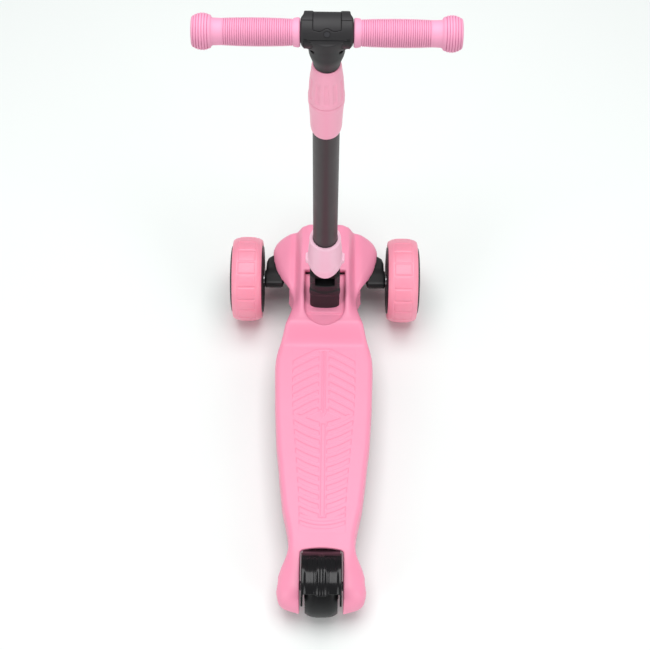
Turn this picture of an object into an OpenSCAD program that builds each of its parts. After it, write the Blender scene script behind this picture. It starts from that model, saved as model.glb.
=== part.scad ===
// Three-wheeled kick scooter for small children: lean-to-steer front wheels, a stem that folds at its
// foot under a locking collar, a twist-locked telescopic T-bar and a foot brake. Millimetres.
// Origin on the floor under the middle of the scooter: +X to the rider's right, +Y forward, +Z up.

/* [Overall] */
// Length from the nose of the deck to the back of the rear wheel
overall_length = 580; // [540:1:700]
// Distance between the front and rear axles
wheelbase = 457; // [420:1:560]
// Distance between the middles of the two front tyres
track = 220; // [210:1:270]
// Height of the crossbar above the floor with the T-bar at its lowest
bar_height = 652; // [560:1:790]
// Width over the ends of both grips
bar_width = 289; // [250:1:360]
// How far the T-bar can be raised
height_travel = 150; // [80:1:160]

/* [Front wheels] */
// Diameter over the tyre
front_wheel_d = 120; // [110:1:130]
// Width of the tyre
front_tyre_w = 42; // [34:1:46]
// Diameter of the hub that carries the tyre
front_hub_d = 96; // [84:1:100]
// How far the hub stands out of the tyre on its inner side
hub_overhang = 1.5; // [1:0.5:3]
// Height of the domed cap outside the hub
cap_dome = 3.5; // [2:0.5:6]

/* [Rear wheel] */
// Diameter over the tyre
rear_wheel_d = 80; // [70:1:84]
// Width of the tyre
rear_tyre_w = 42; // [34:1:46]
// Diameter of the rear wheel's core
rear_core_d = 54; // [48:1:60]

/* [Bearings and axles] */
// Diameter of the wheel axles
axle_d = 8; // [6:1:9]
// Outer diameter of a wheel bearing
bearing_d = 22; // [18:1:24]
// Width of a wheel bearing
bearing_w = 7; // [5:1:9]
// Gap all round a shaft that turns in a hole
running_gap = 0.05; // [0.03:0.01:0.1]
// Gap between pieces that move past each other
play = 0.4; // [0.3:0.1:0.6]

/* [Deck] */
// Greatest width of the standing platform
deck_w = 137; // [115:1:160]
// Height of the standing surface above the floor
deck_top_z = 68; // [64:1:74]
// Thickness of the platform over its ribs
deck_skin = 5; // [3:0.5:7]
// Width over the front wings
wing_w = 147; // [130:1:156]
// Width of the waist behind the front wheels
waist_w = 94; // [88:1:110]
// Width of the waist ahead of the rear pods
rear_waist_w = 90; // [84:1:104]
// Width over the two rear pods
pod_w = 115; // [106:1:130]
// Width of the slot for the rear wheel
rear_slot_w = 56; // [54:1:62]
// Height of the wings' top surface above the front axle
wing_rise = 24; // [23:1:30]
// Height of the hump between the wings above the front axle
hump_rise = 37; // [34:1:44]

/* [Fold] */
// Height of the fold pin above the floor
fold_z = 152; // [145:1:165]
// Distance of the fold pin behind the front axle
fold_setback = 42.5; // [38:0.5:50]
// Width of the fold bracket
fold_base_w = 41; // [38:1:46]
// Depth of the fold bracket, front to back
fold_base_depth = 42; // [38:1:46]
// Radius of the fold bracket's two ears
fold_ear_r = 20; // [18:0.5:22]
// Width of the stem foot between the ears
foot_w = 26; // [22:1:28]
// Diameter of the fold pin
fold_pin_d = 8; // [6:1:10]

/* [Stem] */
// Backward lean of the stem in degrees
stem_lean = 3.5; // [0:0.5:6]
// Outer diameter of the lower stem tube
stem_d = 32; // [30:1:34]
// Gap between the two stem tubes all round
tube_gap = 0.6; // [0.4:0.1:1]
// Wall of both stem tubes
tube_wall = 1.5; // [1.2:0.1:2]

/* [Handlebar] */
// Outer diameter of the crossbar
crossbar_d = 22; // [19:1:24]
// Length of one grip
grip_length = 116; // [95:1:120]
// Diameter of a grip's ribbed part at its widest
grip_d = 31; // [29:1:34]
// Diameter of the bulb at the end of a grip
grip_bulb_d = 39.4; // [36:0.2:42]

/* [Steering] */
// Forward lean of the kingpins in degrees, which turns the wheels as the deck leans
kingpin_lean = 25; // [18:1:30]
// Distance between the two kingpins
kingpin_spacing = 80; // [76:1:88]
// How far the kingpins stand ahead of the front axle
kingpin_lead = 22; // [18:1:24]
// Distance from a kingpin to its tie rod pin
steer_arm = 24; // [22:1:26]

/* [Hidden] */
$fn = 64;
eps = 0.01;
snug = 0.1;
// Far enough to cut right through the scooter
through = 100;
hex_m8 = 13;
hex_m5 = 4;
screw_head_r = 4.5;

// Places along the scooter
nose_y = overall_length / 2;
rear_r = rear_wheel_d / 2;
front_r = front_wheel_d / 2;
rear_y = -overall_length / 2 + rear_r;
front_y = rear_y + wheelbase;
fold_y = front_y - fold_setback;

// Brake
fender_w = 49;
fender_gap = 4;
fender_t = 3;
fender_front = 42;
fender_rear = 33;
fender_r = rear_r + fender_gap;
// Where a circle round the rear axle comes through the platform's top
function arc_y(r) = rear_y + sqrt(pow(r, 2) - pow(deck_top_z - 2 - rear_r, 2));
slot_front_y = arc_y(fender_r + 2) + fender_t;
brake_pin_y = slot_front_y + 5;
brake_pin_z = 52;
brake_pin_d = 5;
brake_lug_r = 6;
brake_pocket_z = deck_top_z - deck_skin;
brake_spring_half = 8;

// Deck outline and heights
wing_z = front_r + wing_rise;
hump_z = front_r + hump_rise;
deck_bottom_z = 36;
pod_end_y = rear_y - rear_r + 4;
pod_end_w = pod_w - 14;
pod_y = rear_y + 3;
rear_waist_y = slot_front_y + 1;
widest_y = front_y - 175;
waist_y = front_y - 44;
wing_y = front_y + 41;
step_y = front_y - 112;
ridge_y = front_y - 93;
ridge_z = wing_z + 5;
pod_top_z = 60;
pod_bottom_z = 22;
hump_w = 78;
hump_back_y = front_y - 52;
hood_skin = 6;
wall = 4;
rib_t = 2.5;
rib_pitch = 34;
tunnel_back_y = front_y - 27;
tunnel_front_y = front_y + 59;
tunnel_top_z = wing_z - hood_skin;
scoop_z = wing_z - 2;
scoop_r = 27;
scoop_y = fold_y - fold_base_depth / 2 - 1;

// Fold
saddle_r = fold_ear_r + 6;
foot_r = 13.5;
foot_gap = 0.6;
fold_screw_x = 12;
fold_screw_dy = 13;
fold_screw_d = 5;
fold_screw_bite = 20;
fold_seat_z = deck_top_z - 8;
screw_head_h = 4;

// Stem, measured from the fold pin along the stem's own axis
stem_r = stem_d / 2;
stem_bore_r = stem_r - tube_wall;
inner_r = stem_bore_r - tube_gap;
inner_bore_r = inner_r - tube_wall;
bar_t = (bar_height - fold_z) / cos(stem_lean);
tube_bottom_t = 44;
foot_disc_t = 34;
spigot_top_t = 78;
collar_tongue_t = 12;
collar_top_t = 83;
collar_r = stem_r + 6.7;
collar_waist_t = 50;
collar_top_r = stem_r + 5.2;
collar_ear_w = 52.7;
head_bottom_t = bar_t - 50;
ring_top_t = head_bottom_t - 1.2;
seam_t = bar_t - 116;
clamp_bottom_t = bar_t - 178;
clamp_low_r = stem_r + 1;
clamp_mid_r = stem_r + 2.7;
clamp_lip_r = stem_r + 4.9;
neck_r = stem_r + 1.5;
tube_top_t = seam_t + 14;
overlap = 65;
inner_bottom_t = tube_top_t - overlap - height_travel;
collet_r = stem_r - 1;

// Head and grips
head_half = bar_width / 2 - grip_length - 0.5;
head_r = stem_r + 3.5;
head_wall = 2.5;
bar_r = crossbar_d / 2;
core_r = head_r - head_wall;
core_half = head_half - head_wall - 0.8;
cap_half = 15;

// Front corner
tyre_crown = 4.5;
spacer_wall = 2;
hub_r = front_hub_d / 2;
hub_side = front_tyre_w / 2 + hub_overhang;
arm_end_x = track / 2 - hub_side - 2;
kingpin_x = kingpin_spacing / 2;
kingpin_y = front_y + kingpin_lead;
kingpin_z = front_r - 4;
kingpin_d = 8;
knuckle_half = 9;
knuckle_r = 11;
bracket_t = 2.5;
bracket_z = knuckle_half + play;
tie_pin_d = 6;
tie_low = 3;
tie_t = 5;

pink = [1.0, 0.62, 0.76];
collar_pink = [1.0, 0.75, 0.85];
tyre_pink = [1.0, 0.66, 0.73];
black = [0.13, 0.13, 0.14];
charcoal = [0.27, 0.26, 0.27];
steel = [0.7, 0.7, 0.72];
clear = [0.9, 0.9, 0.95];

// ---------------------------------------------------------------- frames and helpers

// The stem's frame: the fold pin at the origin, local +Z up the stem
module at_stem() translate([0, fold_y, fold_z]) rotate([stem_lean, 0, 0]) children();

// The crossbar's frame, local +Z towards +X
module at_bar() at_stem() translate([0, 0, bar_t]) rotate([0, 90, 0]) children();

// A front wheel's frame, local +Z pointing outboard; side is -1 on the left, 1 on the right
module at_wheel(side) translate([side * track / 2, front_y, front_r]) rotate([0, side * 90, 0]) children();

// The rear wheel's frame, local +Z towards +X
module at_rear() translate([0, rear_y, rear_r]) rotate([0, 90, 0]) children();

// The steering plane, square to the leaning kingpins and half way up them
module at_steering() translate([0, kingpin_y, kingpin_z]) rotate([-kingpin_lean, 0, 0]) children();

// The brake pin's frame, local +Z towards +X
module at_brake_pin() translate([0, brake_pin_y, brake_pin_z]) rotate([0, 90, 0]) children();

module rod(r, z0, z1) translate([0, 0, z0]) cylinder(r = r, h = z1 - z0);

module tube(r_out, r_in, z0, z1) difference() {
    rod(r_out, z0, z1);
    rod(r_in, z0 - 1, z1 + 1);
}

module hex(across, z0, z1) translate([0, 0, z0]) cylinder(d = across / cos(30), h = z1 - z0, $fn = 6);

module block(x0, x1, y0, y1, z0, z1) translate([x0, y0, z0]) cube([x1 - x0, y1 - y0, z1 - z0]);

// A coil spring round local Z, swept along its helix with flat dead ends
function coil_point(r, h, turns, u) = [r * cos(360 * turns * u), r * sin(360 * turns * u), h * u];
module coil(r, wire_r, turns, h) {
    steps = turns * 16;
    sides = 8;
    points = [for (i = [0 : steps], k = [0 : sides - 1])
        let (u = i / steps, a = 360 * turns * u, b = 360 * k / sides, p =
            coil_point(r, h - 2 * wire_r, turns, u))
            p + [wire_r * cos(b) * cos(a), wire_r * cos(b) * sin(a), wire_r * sin(b) + wire_r]];
    skin = [for (i = [0 : steps - 1], k = [0 : sides - 1]) let (n = (k + 1) % sides)
        [i * sides + k, (i + 1) * sides + k, (i + 1) * sides + n, i * sides + n]];
    polyhedron(points = points, faces = concat(skin,
        [[for (k = [0 : sides - 1]) k]], [[for (k = [sides - 1 : -1 : 0]) steps * sides + k]]));
}

// ---------------------------------------------------------------- deck

function mix(a, b, u) = a + (b - a) * u;
function part_way(y, y0, y1) = (y - y0) / (y1 - y0);
function ease(u) = u * u * (3 - 2 * u);
function swell(u) = (u + sin(90 * u)) / 2;

// Half width of the deck at a place along it
function half_width(y) =
    y < pod_y ? mix(pod_end_w, pod_w, sin(90 * part_way(y, pod_end_y, pod_y))) / 2
    : y < rear_waist_y ? mix(pod_w, rear_waist_w, ease(part_way(y, pod_y, rear_waist_y))) / 2
    : y < widest_y ? mix(rear_waist_w, deck_w, swell(part_way(y, rear_waist_y, widest_y))) / 2
    : y < waist_y ? mix(deck_w, waist_w, ease(part_way(y, widest_y, waist_y))) / 2
    : y < wing_y ? mix(waist_w, wing_w, ease(part_way(y, waist_y, wing_y))) / 2
    : wing_w / 2 * pow(max(0, 1 - pow(part_way(y, wing_y, nose_y), 2.6)), 1 / 2.6);

outline_step = 12;
nose_steps = 8;
outline_ys = concat([for (y = [pod_end_y : outline_step : wing_y - eps]) y],
    [for (i = [0 : nose_steps]) mix(wing_y, nose_y, sin(90 * i / nose_steps))]);

module outline(inset = 0) polygon(concat(
    [for (y = outline_ys) [max(half_width(y) - inset, 1), y]],
    [for (i = [len(outline_ys) - 1 : -1 : 0]) [-max(half_width(outline_ys[i]) - inset, 1),
        outline_ys[i]]]));

module along_x(half) rotate([90, 0, 90]) linear_extrude(2 * half, center = true) children();

// Side view of platform, pods and wings as [along, up]
module side_view() polygon([
    [pod_end_y, pod_bottom_z + 5], [pod_end_y, pod_top_z - 24], [pod_end_y + 8, pod_top_z - 11],
    [rear_y - 8, pod_top_z - 2], [rear_y + 12, pod_top_z + 1], [rear_waist_y, deck_top_z],
    [step_y, deck_top_z], [ridge_y, ridge_z], [ridge_y + 14, ridge_z], [waist_y + 10, wing_z],
    [wing_y + 8, wing_z], [nose_y - 12, wing_z - 4], [nose_y - 2, wing_z - 14], [nose_y, wing_z - 24],
    [nose_y - 3, deck_bottom_z + 8], [nose_y - 10, deck_bottom_z], [rear_waist_y, deck_bottom_z],
    [rear_y + 14, pod_bottom_z], [rear_y - 16, pod_bottom_z]]);

// Side view and plan of the hump that carries the fold bracket
module hump_side_view() polygon([
    [ridge_y, deck_bottom_z + 20], [ridge_y, ridge_z], [ridge_y + 24, hump_z - 3],
        [hump_back_y + 20, hump_z],
    [front_y + 20, hump_z], [nose_y - 26, hump_z - 4], [nose_y - 9, hump_z - 11], [nose_y - 3, hump_z - 21],
    [nose_y, wing_z - 24], [nose_y - 4, deck_bottom_z + 20]]);

module half_hump() polygon([[0, ridge_y], [waist_w / 2 - 2, ridge_y], [hump_w / 2 - 4, hump_back_y + 10],
    [hump_w / 2, front_y + 18], [hump_w / 2 - 3, nose_y - 20], [hump_w / 2 - 12, nose_y - 5], [6, nose_y],
    [0, nose_y]]);

module deck_blank() {
    intersection() {
        along_x(100) side_view();
        linear_extrude(150) outline();
    }
    intersection() {
        along_x(100) hump_side_view();
        linear_extrude(150) {
            half_hump();
            mirror([1, 0]) half_hump();
        }
    }
}

// Room for the front arms to swing in, open at both sides and below
module steering_tunnel() {
    block(-100, 100, tunnel_back_y, tunnel_front_y, 0, tunnel_top_z);
    block(-hump_w / 2 + 5, hump_w / 2 - 5, tunnel_back_y, kingpin_y + 14, 0, hump_z - hood_skin);
}

// The pad under the hood that the steering bracket is screwed to
pad_half = 29;
module bracket_pad() intersection() {
    at_steering() block(-pad_half, pad_half, -12, 14, bracket_z + bracket_t, 60);
    block(-100, 100, 0, nose_y, 0, wing_z - 1);
}

// The hollow that the fold bracket stands in
module scoop() {
    translate([0, scoop_y, 0]) rod(scoop_r, scoop_z, 150);
    block(-scoop_r, scoop_r, scoop_y, fold_y + fold_base_depth / 2 + 4, scoop_z, 150);
}

module rear_slot() {
    block(-rear_slot_w / 2, rear_slot_w / 2, pod_end_y - 5, slot_front_y, 0, 100);
    block(-rear_slot_w / 2, rear_slot_w / 2, slot_front_y - 1, brake_pin_y + brake_lug_r + 3, 0,
        brake_pocket_z);
}

// Hollows under the platform, between its ribs
rib_back_y = brake_pin_y + brake_lug_r + 3 + wall;
rib_front_y = tunnel_back_y - wall;
module rib_cells() intersection() {
    translate([0, 0, deck_bottom_z - 1]) linear_extrude(deck_top_z - deck_skin - deck_bottom_z + 1)
        outline(wall);
    union() {
        rows = ceil((rib_front_y - rib_back_y) / rib_pitch);
        pitch = (rib_front_y - rib_back_y) / rows;
        for (i = [0 : rows - 1], j = [-2 : 1])
            block(j * rib_pitch + rib_t / 2, (j + 1) * rib_pitch - rib_t / 2,
                rib_back_y + i * pitch, rib_back_y + (i + 1) * pitch - rib_t, deck_bottom_z - 2,
                    deck_top_z);
    }
}

cover_t = 2.5;
cover_half = 34;
cover_screw_x = 24;
cover_screw_ys = [tunnel_back_y - 6, tunnel_front_y + 6];
module cover_screw_places() for (x = [-1, 1] * cover_screw_x, y = cover_screw_ys) translate([x, y, 0])
    children();
module fold_screw_places() for (x = [-1, 1] * fold_screw_x, dy = [-1, 1] * fold_screw_dy)
    translate([x, fold_y + dy, 0]) children();
bracket_screw_x = 20;
bracket_screw_d = 5;
module bracket_screw_places() at_steering() for (x = [-1, 1] * bracket_screw_x, y = [-6, 6])
    translate([x, y, 0])
    children();
pod_recess = 8;
pod_bore_r = 9;

module deck() color(pink) difference() {
    union() {
        difference() {
            deck_blank();
            steering_tunnel();
            rib_cells();
        }
        bracket_pad();
        // Boss under the fold bracket
        block(-fold_screw_x - 8, fold_screw_x + 8, fold_y - fold_screw_dy - 8, tunnel_back_y,
            deck_top_z - 14, scoop_z);
        // Walls that take the cover's screws
        block(-cover_half, cover_half, rib_front_y - wall, tunnel_back_y, deck_bottom_z, deck_top_z);
    }
    scoop();
    rear_slot();
    at_rear() {
        rod(axle_d / 2 + running_gap, -through, through);
        rod(pod_bore_r, pod_w / 2 - pod_recess, through);
        rod(pod_bore_r, -through, pod_recess - pod_w / 2);
    }
    at_brake_pin() rod(brake_pin_d / 2, -rear_slot_w / 2 - 6, rear_slot_w / 2 + 6);
    fold_screw_places() rod(fold_screw_d / 2 + snug, deck_bottom_z, scoop_z + 1);
    fold_screw_places() rod(screw_head_r + 0.5, 0, fold_seat_z);
    bracket_screw_places() rod(bracket_screw_d / 2, 0, 20);
    cover_screw_places() rod(2, 0, deck_bottom_z + 14);
}

module underside_cover() color(black) difference() {
    union() {
        block(-cover_half, cover_half, rib_front_y - wall, tunnel_front_y + 12,
            deck_bottom_z - cover_t, deck_bottom_z);
        for (x = [-1, 1] * cover_half / 2)
            block(x - 1, x + 1, rib_front_y, tunnel_front_y + 8, deck_bottom_z - cover_t - 2,
                deck_bottom_z - cover_t);
    }
    cover_screw_places() rod(2.1, 0, 100);
}

module cover_screws() color(steel) cover_screw_places() {
    rod(2, deck_bottom_z - cover_t, deck_bottom_z + 12);
    difference() {
        rod(3.6, deck_bottom_z - cover_t - 2.4, deck_bottom_z - cover_t);
        hex(2.5, deck_bottom_z - cover_t - 3, deck_bottom_z - cover_t - 1);
    }
}

// ---------------------------------------------------------------- steering

tab_half = 3;
spring_z = bracket_z + 4.6;
spring_lug_x = 23;
module steering_bracket() color(steel) at_steering() difference() {
    union() {
        for (low = [-bracket_z - bracket_t, bracket_z]) {
            block(-kingpin_x, kingpin_x, -13, 16, low, low + bracket_t);
            for (x = [-1, 1] * kingpin_x) translate([x, 0, 0]) rod(13, low, low + bracket_t);
        }
        block(-kingpin_x, kingpin_x, 16, 18.5, -bracket_z - bracket_t, bracket_z + bracket_t);
        // Tab that the return springs push against
        block(-tab_half, tab_half, -steer_arm - 6, -12, bracket_z, bracket_z + bracket_t);
        block(-tab_half, tab_half, -steer_arm - 6, -12.4, bracket_z, bracket_z + 9.6);
    }
    for (x = [-1, 1] * kingpin_x) translate([x, 0, 0]) rod(kingpin_d / 2, -40, 40);
    for (x = [-1, 1] * bracket_screw_x, y = [-6, 6]) translate([x, y, 0]) {
        rod(bracket_screw_d / 2, 0, 40);
        rod(screw_head_r + 0.7, -through, 0);
    }
}

module bracket_screws() color(steel) bracket_screw_places() difference() {
    union() {
        rod(bracket_screw_d / 2, bracket_z, 19);
        rod(screw_head_r, bracket_z - screw_head_h, bracket_z);
    }
    hex(hex_m5, 0, bracket_z - screw_head_h / 2);
}

module kingpins() color(steel) at_steering() for (x = [-1, 1] * kingpin_x) translate([x, 0, 0]) {
    rod(kingpin_d / 2, -bracket_z - bracket_t, bracket_z + bracket_t + 5.5);
    hex(hex_m8, -bracket_z - bracket_t - 4.5, -bracket_z - bracket_t);
}

module kingpin_nuts() color(steel) at_steering() for (x = [-1, 1] * kingpin_x) translate([x, 0, 0])
    difference() {
    hex(hex_m8, bracket_z + bracket_t, bracket_z + bracket_t + 5);
    rod(kingpin_d / 2, 0, 40);
}

spring_length = spring_lug_x - tab_half - 0.4;
module return_springs() color(steel) at_steering() for (side = [-1, 1])
    translate([side * (tab_half + 0.2), -steer_arm, spring_z]) rotate([0, side * 90, 0])
        coil(3.4, 0.6, 6, spring_length);

tie_half = kingpin_x + 6;
tie_slack = 0.9;
module tie_rod() color(steel) at_steering() difference() {
    union() {
        block(-tie_half, tie_half, -steer_arm - 5.5, -steer_arm + 6, tie_low, tie_low + tie_t);
        for (side = [-1, 1])
            block(side > 0 ? spring_lug_x : -spring_lug_x - 3, side > 0 ? spring_lug_x + 3 : -spring_lug_x,
                -steer_arm - 5, -steer_arm + 5, tie_low + tie_t - eps, spring_z + 5);
    }
    for (x = [-1, 1] * kingpin_x) {
        translate([x, -steer_arm, 0]) rod(tie_pin_d / 2 + play, 0, 20);
        translate([x, -steer_arm + tie_slack, 0]) rod(tie_pin_d / 2 + play, 0, 20);
        block(x - tie_pin_d / 2 - play, x + tie_pin_d / 2 + play, -steer_arm, -steer_arm + tie_slack,
            0, 20);
    }
}

// One arm, drawn for the right side. It carries the axle outboard and the tie rod's pin behind the kingpin
arm_back = 40;
arm_front = 23;
arm_root = 15;
arm_top_z = tunnel_top_z - 6;
arm_face_x = arm_end_x - 0.5;
module knuckle(side) color(black) mirror([side < 0 ? 1 : 0, 0, 0]) difference() {
    union() {
        at_steering() {
            translate([kingpin_x, 0, 0]) rod(knuckle_r, -knuckle_half, knuckle_half);
            translate([0, 0, -knuckle_half]) linear_extrude(2 * knuckle_half) polygon([
                [kingpin_x, -8], [kingpin_x + arm_root + 2, -arm_back + 14],
                    [kingpin_x + arm_root + 6, -arm_back],
                [arm_face_x, -arm_back], [arm_face_x, arm_front - 16], [arm_face_x - 4, arm_front - 6],
                [arm_face_x - 13, arm_front], [kingpin_x + arm_root + 6, arm_front],
                    [kingpin_x + arm_root, 9],
                [kingpin_x, 9]]);
            block(kingpin_x - 5, kingpin_x + 5, -steer_arm, -4, tie_low - play - 5, tie_low - play);
            translate([kingpin_x, -steer_arm, 0]) rod(6, tie_low - play - 5, tie_low - play);
            translate([kingpin_x, -steer_arm, 0])
                rod(tie_pin_d / 2, tie_low - play - eps, tie_low + tie_t + 2);
        }
        translate([0, front_y, front_r]) rotate([0, 90, 0]) rod(12, kingpin_x + arm_root + 7, arm_end_x);
    }
    // Flat top of the arm, low enough to swing under the wing
    block(kingpin_x + knuckle_r, arm_end_x + 1, 0, nose_y, arm_top_z, 200);
    at_steering() translate([kingpin_x, 0, 0]) rod(kingpin_d / 2 + running_gap, -40, 40);
    translate([0, front_y, front_r]) rotate([0, 90, 0])
        rod(axle_d / 2, kingpin_x + arm_root + 8, arm_end_x + 1);
}

// ---------------------------------------------------------------- front wheels

bearing_in = -hub_side + 3;
bearing_out = 5;
axle_shoulder_r = 6;
module front_axle(side) color(steel) at_wheel(side) {
    rod(axle_d / 2, kingpin_x + arm_root + 8 - track / 2, bearing_out + bearing_w + 7.5);
    rod(axle_shoulder_r, arm_end_x - track / 2, bearing_in - 0.3);
}

module front_axle_nut(side) color(steel) at_wheel(side) difference() {
    hex(hex_m8, bearing_out + bearing_w + 0.3, bearing_out + bearing_w + 6.8);
    rod(axle_d / 2, 0, 40);
}

module front_tyre(side) color(tyre_pink) at_wheel(side) rotate_extrude() polygon(concat(
    [[hub_r, -front_tyre_w / 2], [front_r - tyre_crown - 1.5, -front_tyre_w / 2]],
    [for (a = [-72 : 12 : 72]) [front_r - tyre_crown + tyre_crown * cos(a),
        (front_tyre_w / 2) * sin(a) / sin(72) * 0.97]],
    [[front_r - tyre_crown - 1.5, front_tyre_w / 2], [hub_r, front_tyre_w / 2]]));

hub_rim = 5;
web_t = 4;
module front_hub(side) color(black) at_wheel(side) rotate_extrude() polygon([
    [bearing_d / 2, -hub_side], [hub_r - 5, -hub_side], [hub_r - 1, -hub_side + 1.2],
        [hub_r, -front_tyre_w / 2],
    [hub_r, front_tyre_w / 2], [hub_r - hub_rim, front_tyre_w / 2],
        [hub_r - hub_rim, -hub_side + web_t + 1],
    [bearing_d / 2 + 4, -hub_side + web_t + 1], [bearing_d / 2 + 4, bearing_out + bearing_w - 1],
    [bearing_d / 2, bearing_out + bearing_w - 1]]);

module front_hub_cap(side) color(black) at_wheel(side) {
    base = front_tyre_w / 2;
    rotate_extrude() polygon([[0, base + cap_dome - 2.5], [hub_r - 14, base + cap_dome - 3.2],
        [hub_r - hub_rim - 2, base - 1], [hub_r - hub_rim - 2, base - 4], [hub_r - hub_rim, base - 4],
        [hub_r - hub_rim, base], [hub_r, base], [hub_r - 2, base + 1.4],
            [hub_r - 10, base + cap_dome - 0.6],
        [hub_r - 22, base + cap_dome], [0, base + cap_dome]]);
}

module bearing_pair(z_in, z_out) for (z = [z_in, z_out])
    tube(bearing_d / 2, axle_d / 2 + running_gap, z, z + bearing_w);

module front_bearings(side) color(steel) at_wheel(side) bearing_pair(bearing_in, bearing_out);

module front_spacer(side) color(steel) at_wheel(side)
    tube(axle_d / 2 + spacer_wall, axle_d / 2 + running_gap, bearing_in + bearing_w, bearing_out);

module light_ring(side) color(clear) at_wheel(side) tube(hub_r - hub_rim, hub_r - hub_rim - 3, -7, 5);

// ---------------------------------------------------------------- rear wheel and brake

rear_core_half = rear_tyre_w / 2 + 1;
rear_bearing_out = rear_core_half - bearing_w + 1;
module rear_tyre() color(black) at_rear() rotate_extrude() polygon(concat(
    [[rear_core_d / 2, -rear_tyre_w / 2]],
    [for (a = [-75 : 15 : 75]) [rear_r - 9 + 9 * cos(a), (rear_tyre_w / 2) * sin(a) / sin(75)]],
    [[rear_core_d / 2, rear_tyre_w / 2]]));

module rear_core() color(black) at_rear() rotate_extrude() polygon([
    [bearing_d / 2, -rear_core_half], [bearing_d / 2 + 4, -rear_core_half],
        [rear_core_d / 2 - 4, -rear_core_half + 4],
    [rear_core_d / 2 - 1, -rear_tyre_w / 2 + 0.5], [rear_core_d / 2, -rear_tyre_w / 2],
        [rear_core_d / 2, rear_tyre_w / 2],
    [rear_core_d / 2 - 1, rear_tyre_w / 2 - 0.5], [rear_core_d / 2 - 4, rear_core_half - 4],
    [bearing_d / 2 + 4, rear_core_half], [bearing_d / 2, rear_core_half]]);

module rear_bearings() color(steel) at_rear() bearing_pair(-rear_bearing_out - bearing_w, rear_bearing_out);

module rear_spacer() color(steel) at_rear()
    tube(axle_d / 2 + spacer_wall, axle_d / 2 + running_gap, -rear_bearing_out, rear_bearing_out);

module rear_axle() color(steel) at_rear() {
    rod(axle_d / 2, -pod_w / 2 + pod_recess - 6.5, pod_w / 2 - pod_recess);
    hex(hex_m8, pod_w / 2 - pod_recess, pod_w / 2 - pod_recess + 5);
    for (side = [-1, 1])
        rod(axle_shoulder_r, side > 0 ? rear_bearing_out + bearing_w + 0.3 : -rear_slot_w / 2,
            side > 0 ? rear_slot_w / 2 : -rear_bearing_out - bearing_w - 0.3);
}

module rear_axle_nut() color(steel) at_rear() difference() {
    hex(hex_m8, -pod_w / 2 + pod_recess - 6, -pod_w / 2 + pod_recess);
    rod(axle_d / 2, -through, 0);
}

// Ring sector round the rear axle between two angles from the vertical, forward positive
module fender_sector(r_in, r_out, half, back, front) translate([0, rear_y, rear_r])
    along_x(half) intersection() {
        difference() {
            circle(r = r_out);
            circle(r = r_in);
        }
        polygon([[0, 0], [-99 * sin(back), 99 * cos(back)], [0, 140], [99 * sin(front), 99 * cos(front)]]);
    }

function fender_y(r, angle) = r * sin(angle);
function fender_up(r, angle) = r * cos(angle);
module brake_fender() color(black) difference() {
    union() {
        fender_sector(fender_r, fender_r + fender_t, fender_w / 2, fender_rear, fender_front);
        // Side skirts
        for (side = [-1, 1]) translate([side * (fender_w / 2 - 1), 0, 0])
            fender_sector(fender_r - 7, fender_r + 1, 1, fender_rear - 4, fender_front - 4);
        // Raised pads beside the middle channel
        for (side = [-1, 1]) translate([side * 14, 0, 0])
            fender_sector(fender_r + 1, fender_r + fender_t + 1, 8, fender_rear - 3, 18);
        // Arm down to the pin
        for (side = [-1, 1]) translate([side * 15, 0, 0]) along_x(5) polygon([
            [brake_pin_y - 5, brake_pin_z - 3], [brake_pin_y + 5.5, brake_pin_z - 2],
                [brake_pin_y + 5.5, brake_pin_z + 2],
            [brake_pin_y - 3, brake_pin_z + 7], [slot_front_y - 3, deck_top_z - 2],
            [rear_y + fender_y(fender_r + 2, 36), rear_r + fender_up(fender_r + 2, 36)],
            [rear_y + fender_y(fender_r + 0.6, 38), rear_r + fender_up(fender_r + 0.6, 38)],
            [arc_y(fender_r - 0.4), deck_top_z - 2]]);
        for (side = [-1, 1]) at_brake_pin() translate([0, 0, side * 15 - 5])
            cylinder(r = brake_lug_r, h = 10);
    }
    at_brake_pin() rod(brake_pin_d / 2 + running_gap, -60, 60);
}

module brake_pin() color(steel) at_brake_pin()
    rod(brake_pin_d / 2, -rear_slot_w / 2 - 6, rear_slot_w / 2 + 6);

module brake_spring() color(steel) at_brake_pin() translate([0, 0, -brake_spring_half])
    coil(brake_pin_d / 2 + 1.2, 0.7, 7, 2 * brake_spring_half);

// ---------------------------------------------------------------- fold

module fold_base() color(black) difference() {
    union() {
        intersection() {
            translate([0, fold_y, 0])
                block(-fold_base_w / 2, fold_base_w / 2, -fold_base_depth / 2, fold_base_depth / 2,
                scoop_z, fold_z);
            translate([0, fold_y + 22, 0]) rod(fold_base_depth + 2, 0, 300);
        }
        translate([0, fold_y, fold_z]) rotate([0, 90, 0])
            rod(fold_ear_r, -fold_base_w / 2, fold_base_w / 2);
    }
    // Gap for the stem foot, open to the back so that the stem can fold down over the deck
    block(-foot_w / 2 - play, foot_w / 2 + play, fold_y - 60, fold_y + 60, fold_z, fold_z + 60);
    translate([0, fold_y, fold_z]) rotate([0, 90, 0])
        rod(foot_r + foot_gap, -foot_w / 2 - play, foot_w / 2 + play);
    block(-foot_w / 2 - play, foot_w / 2 + play, fold_y - 60, fold_y, fold_z - foot_r - foot_gap,
        fold_z + 1);
    block(-foot_w / 2 - play, foot_w / 2 + play, fold_y, fold_y + 60, fold_z - 4, fold_z + 1);
    translate([0, fold_y, fold_z]) rotate([0, 90, 0]) rod(fold_pin_d / 2, -40, 40);
    fold_screw_places() rod(fold_screw_d / 2, 0, scoop_z + fold_screw_bite);
}

module fold_base_screws() color(steel) fold_screw_places() {
    rod(fold_screw_d / 2, fold_seat_z, scoop_z + fold_screw_bite - 1);
    difference() {
        rod(screw_head_r, fold_seat_z - screw_head_h, fold_seat_z);
        hex(hex_m5, fold_seat_z - screw_head_h - 1, fold_seat_z - screw_head_h / 2);
    }
}

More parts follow.
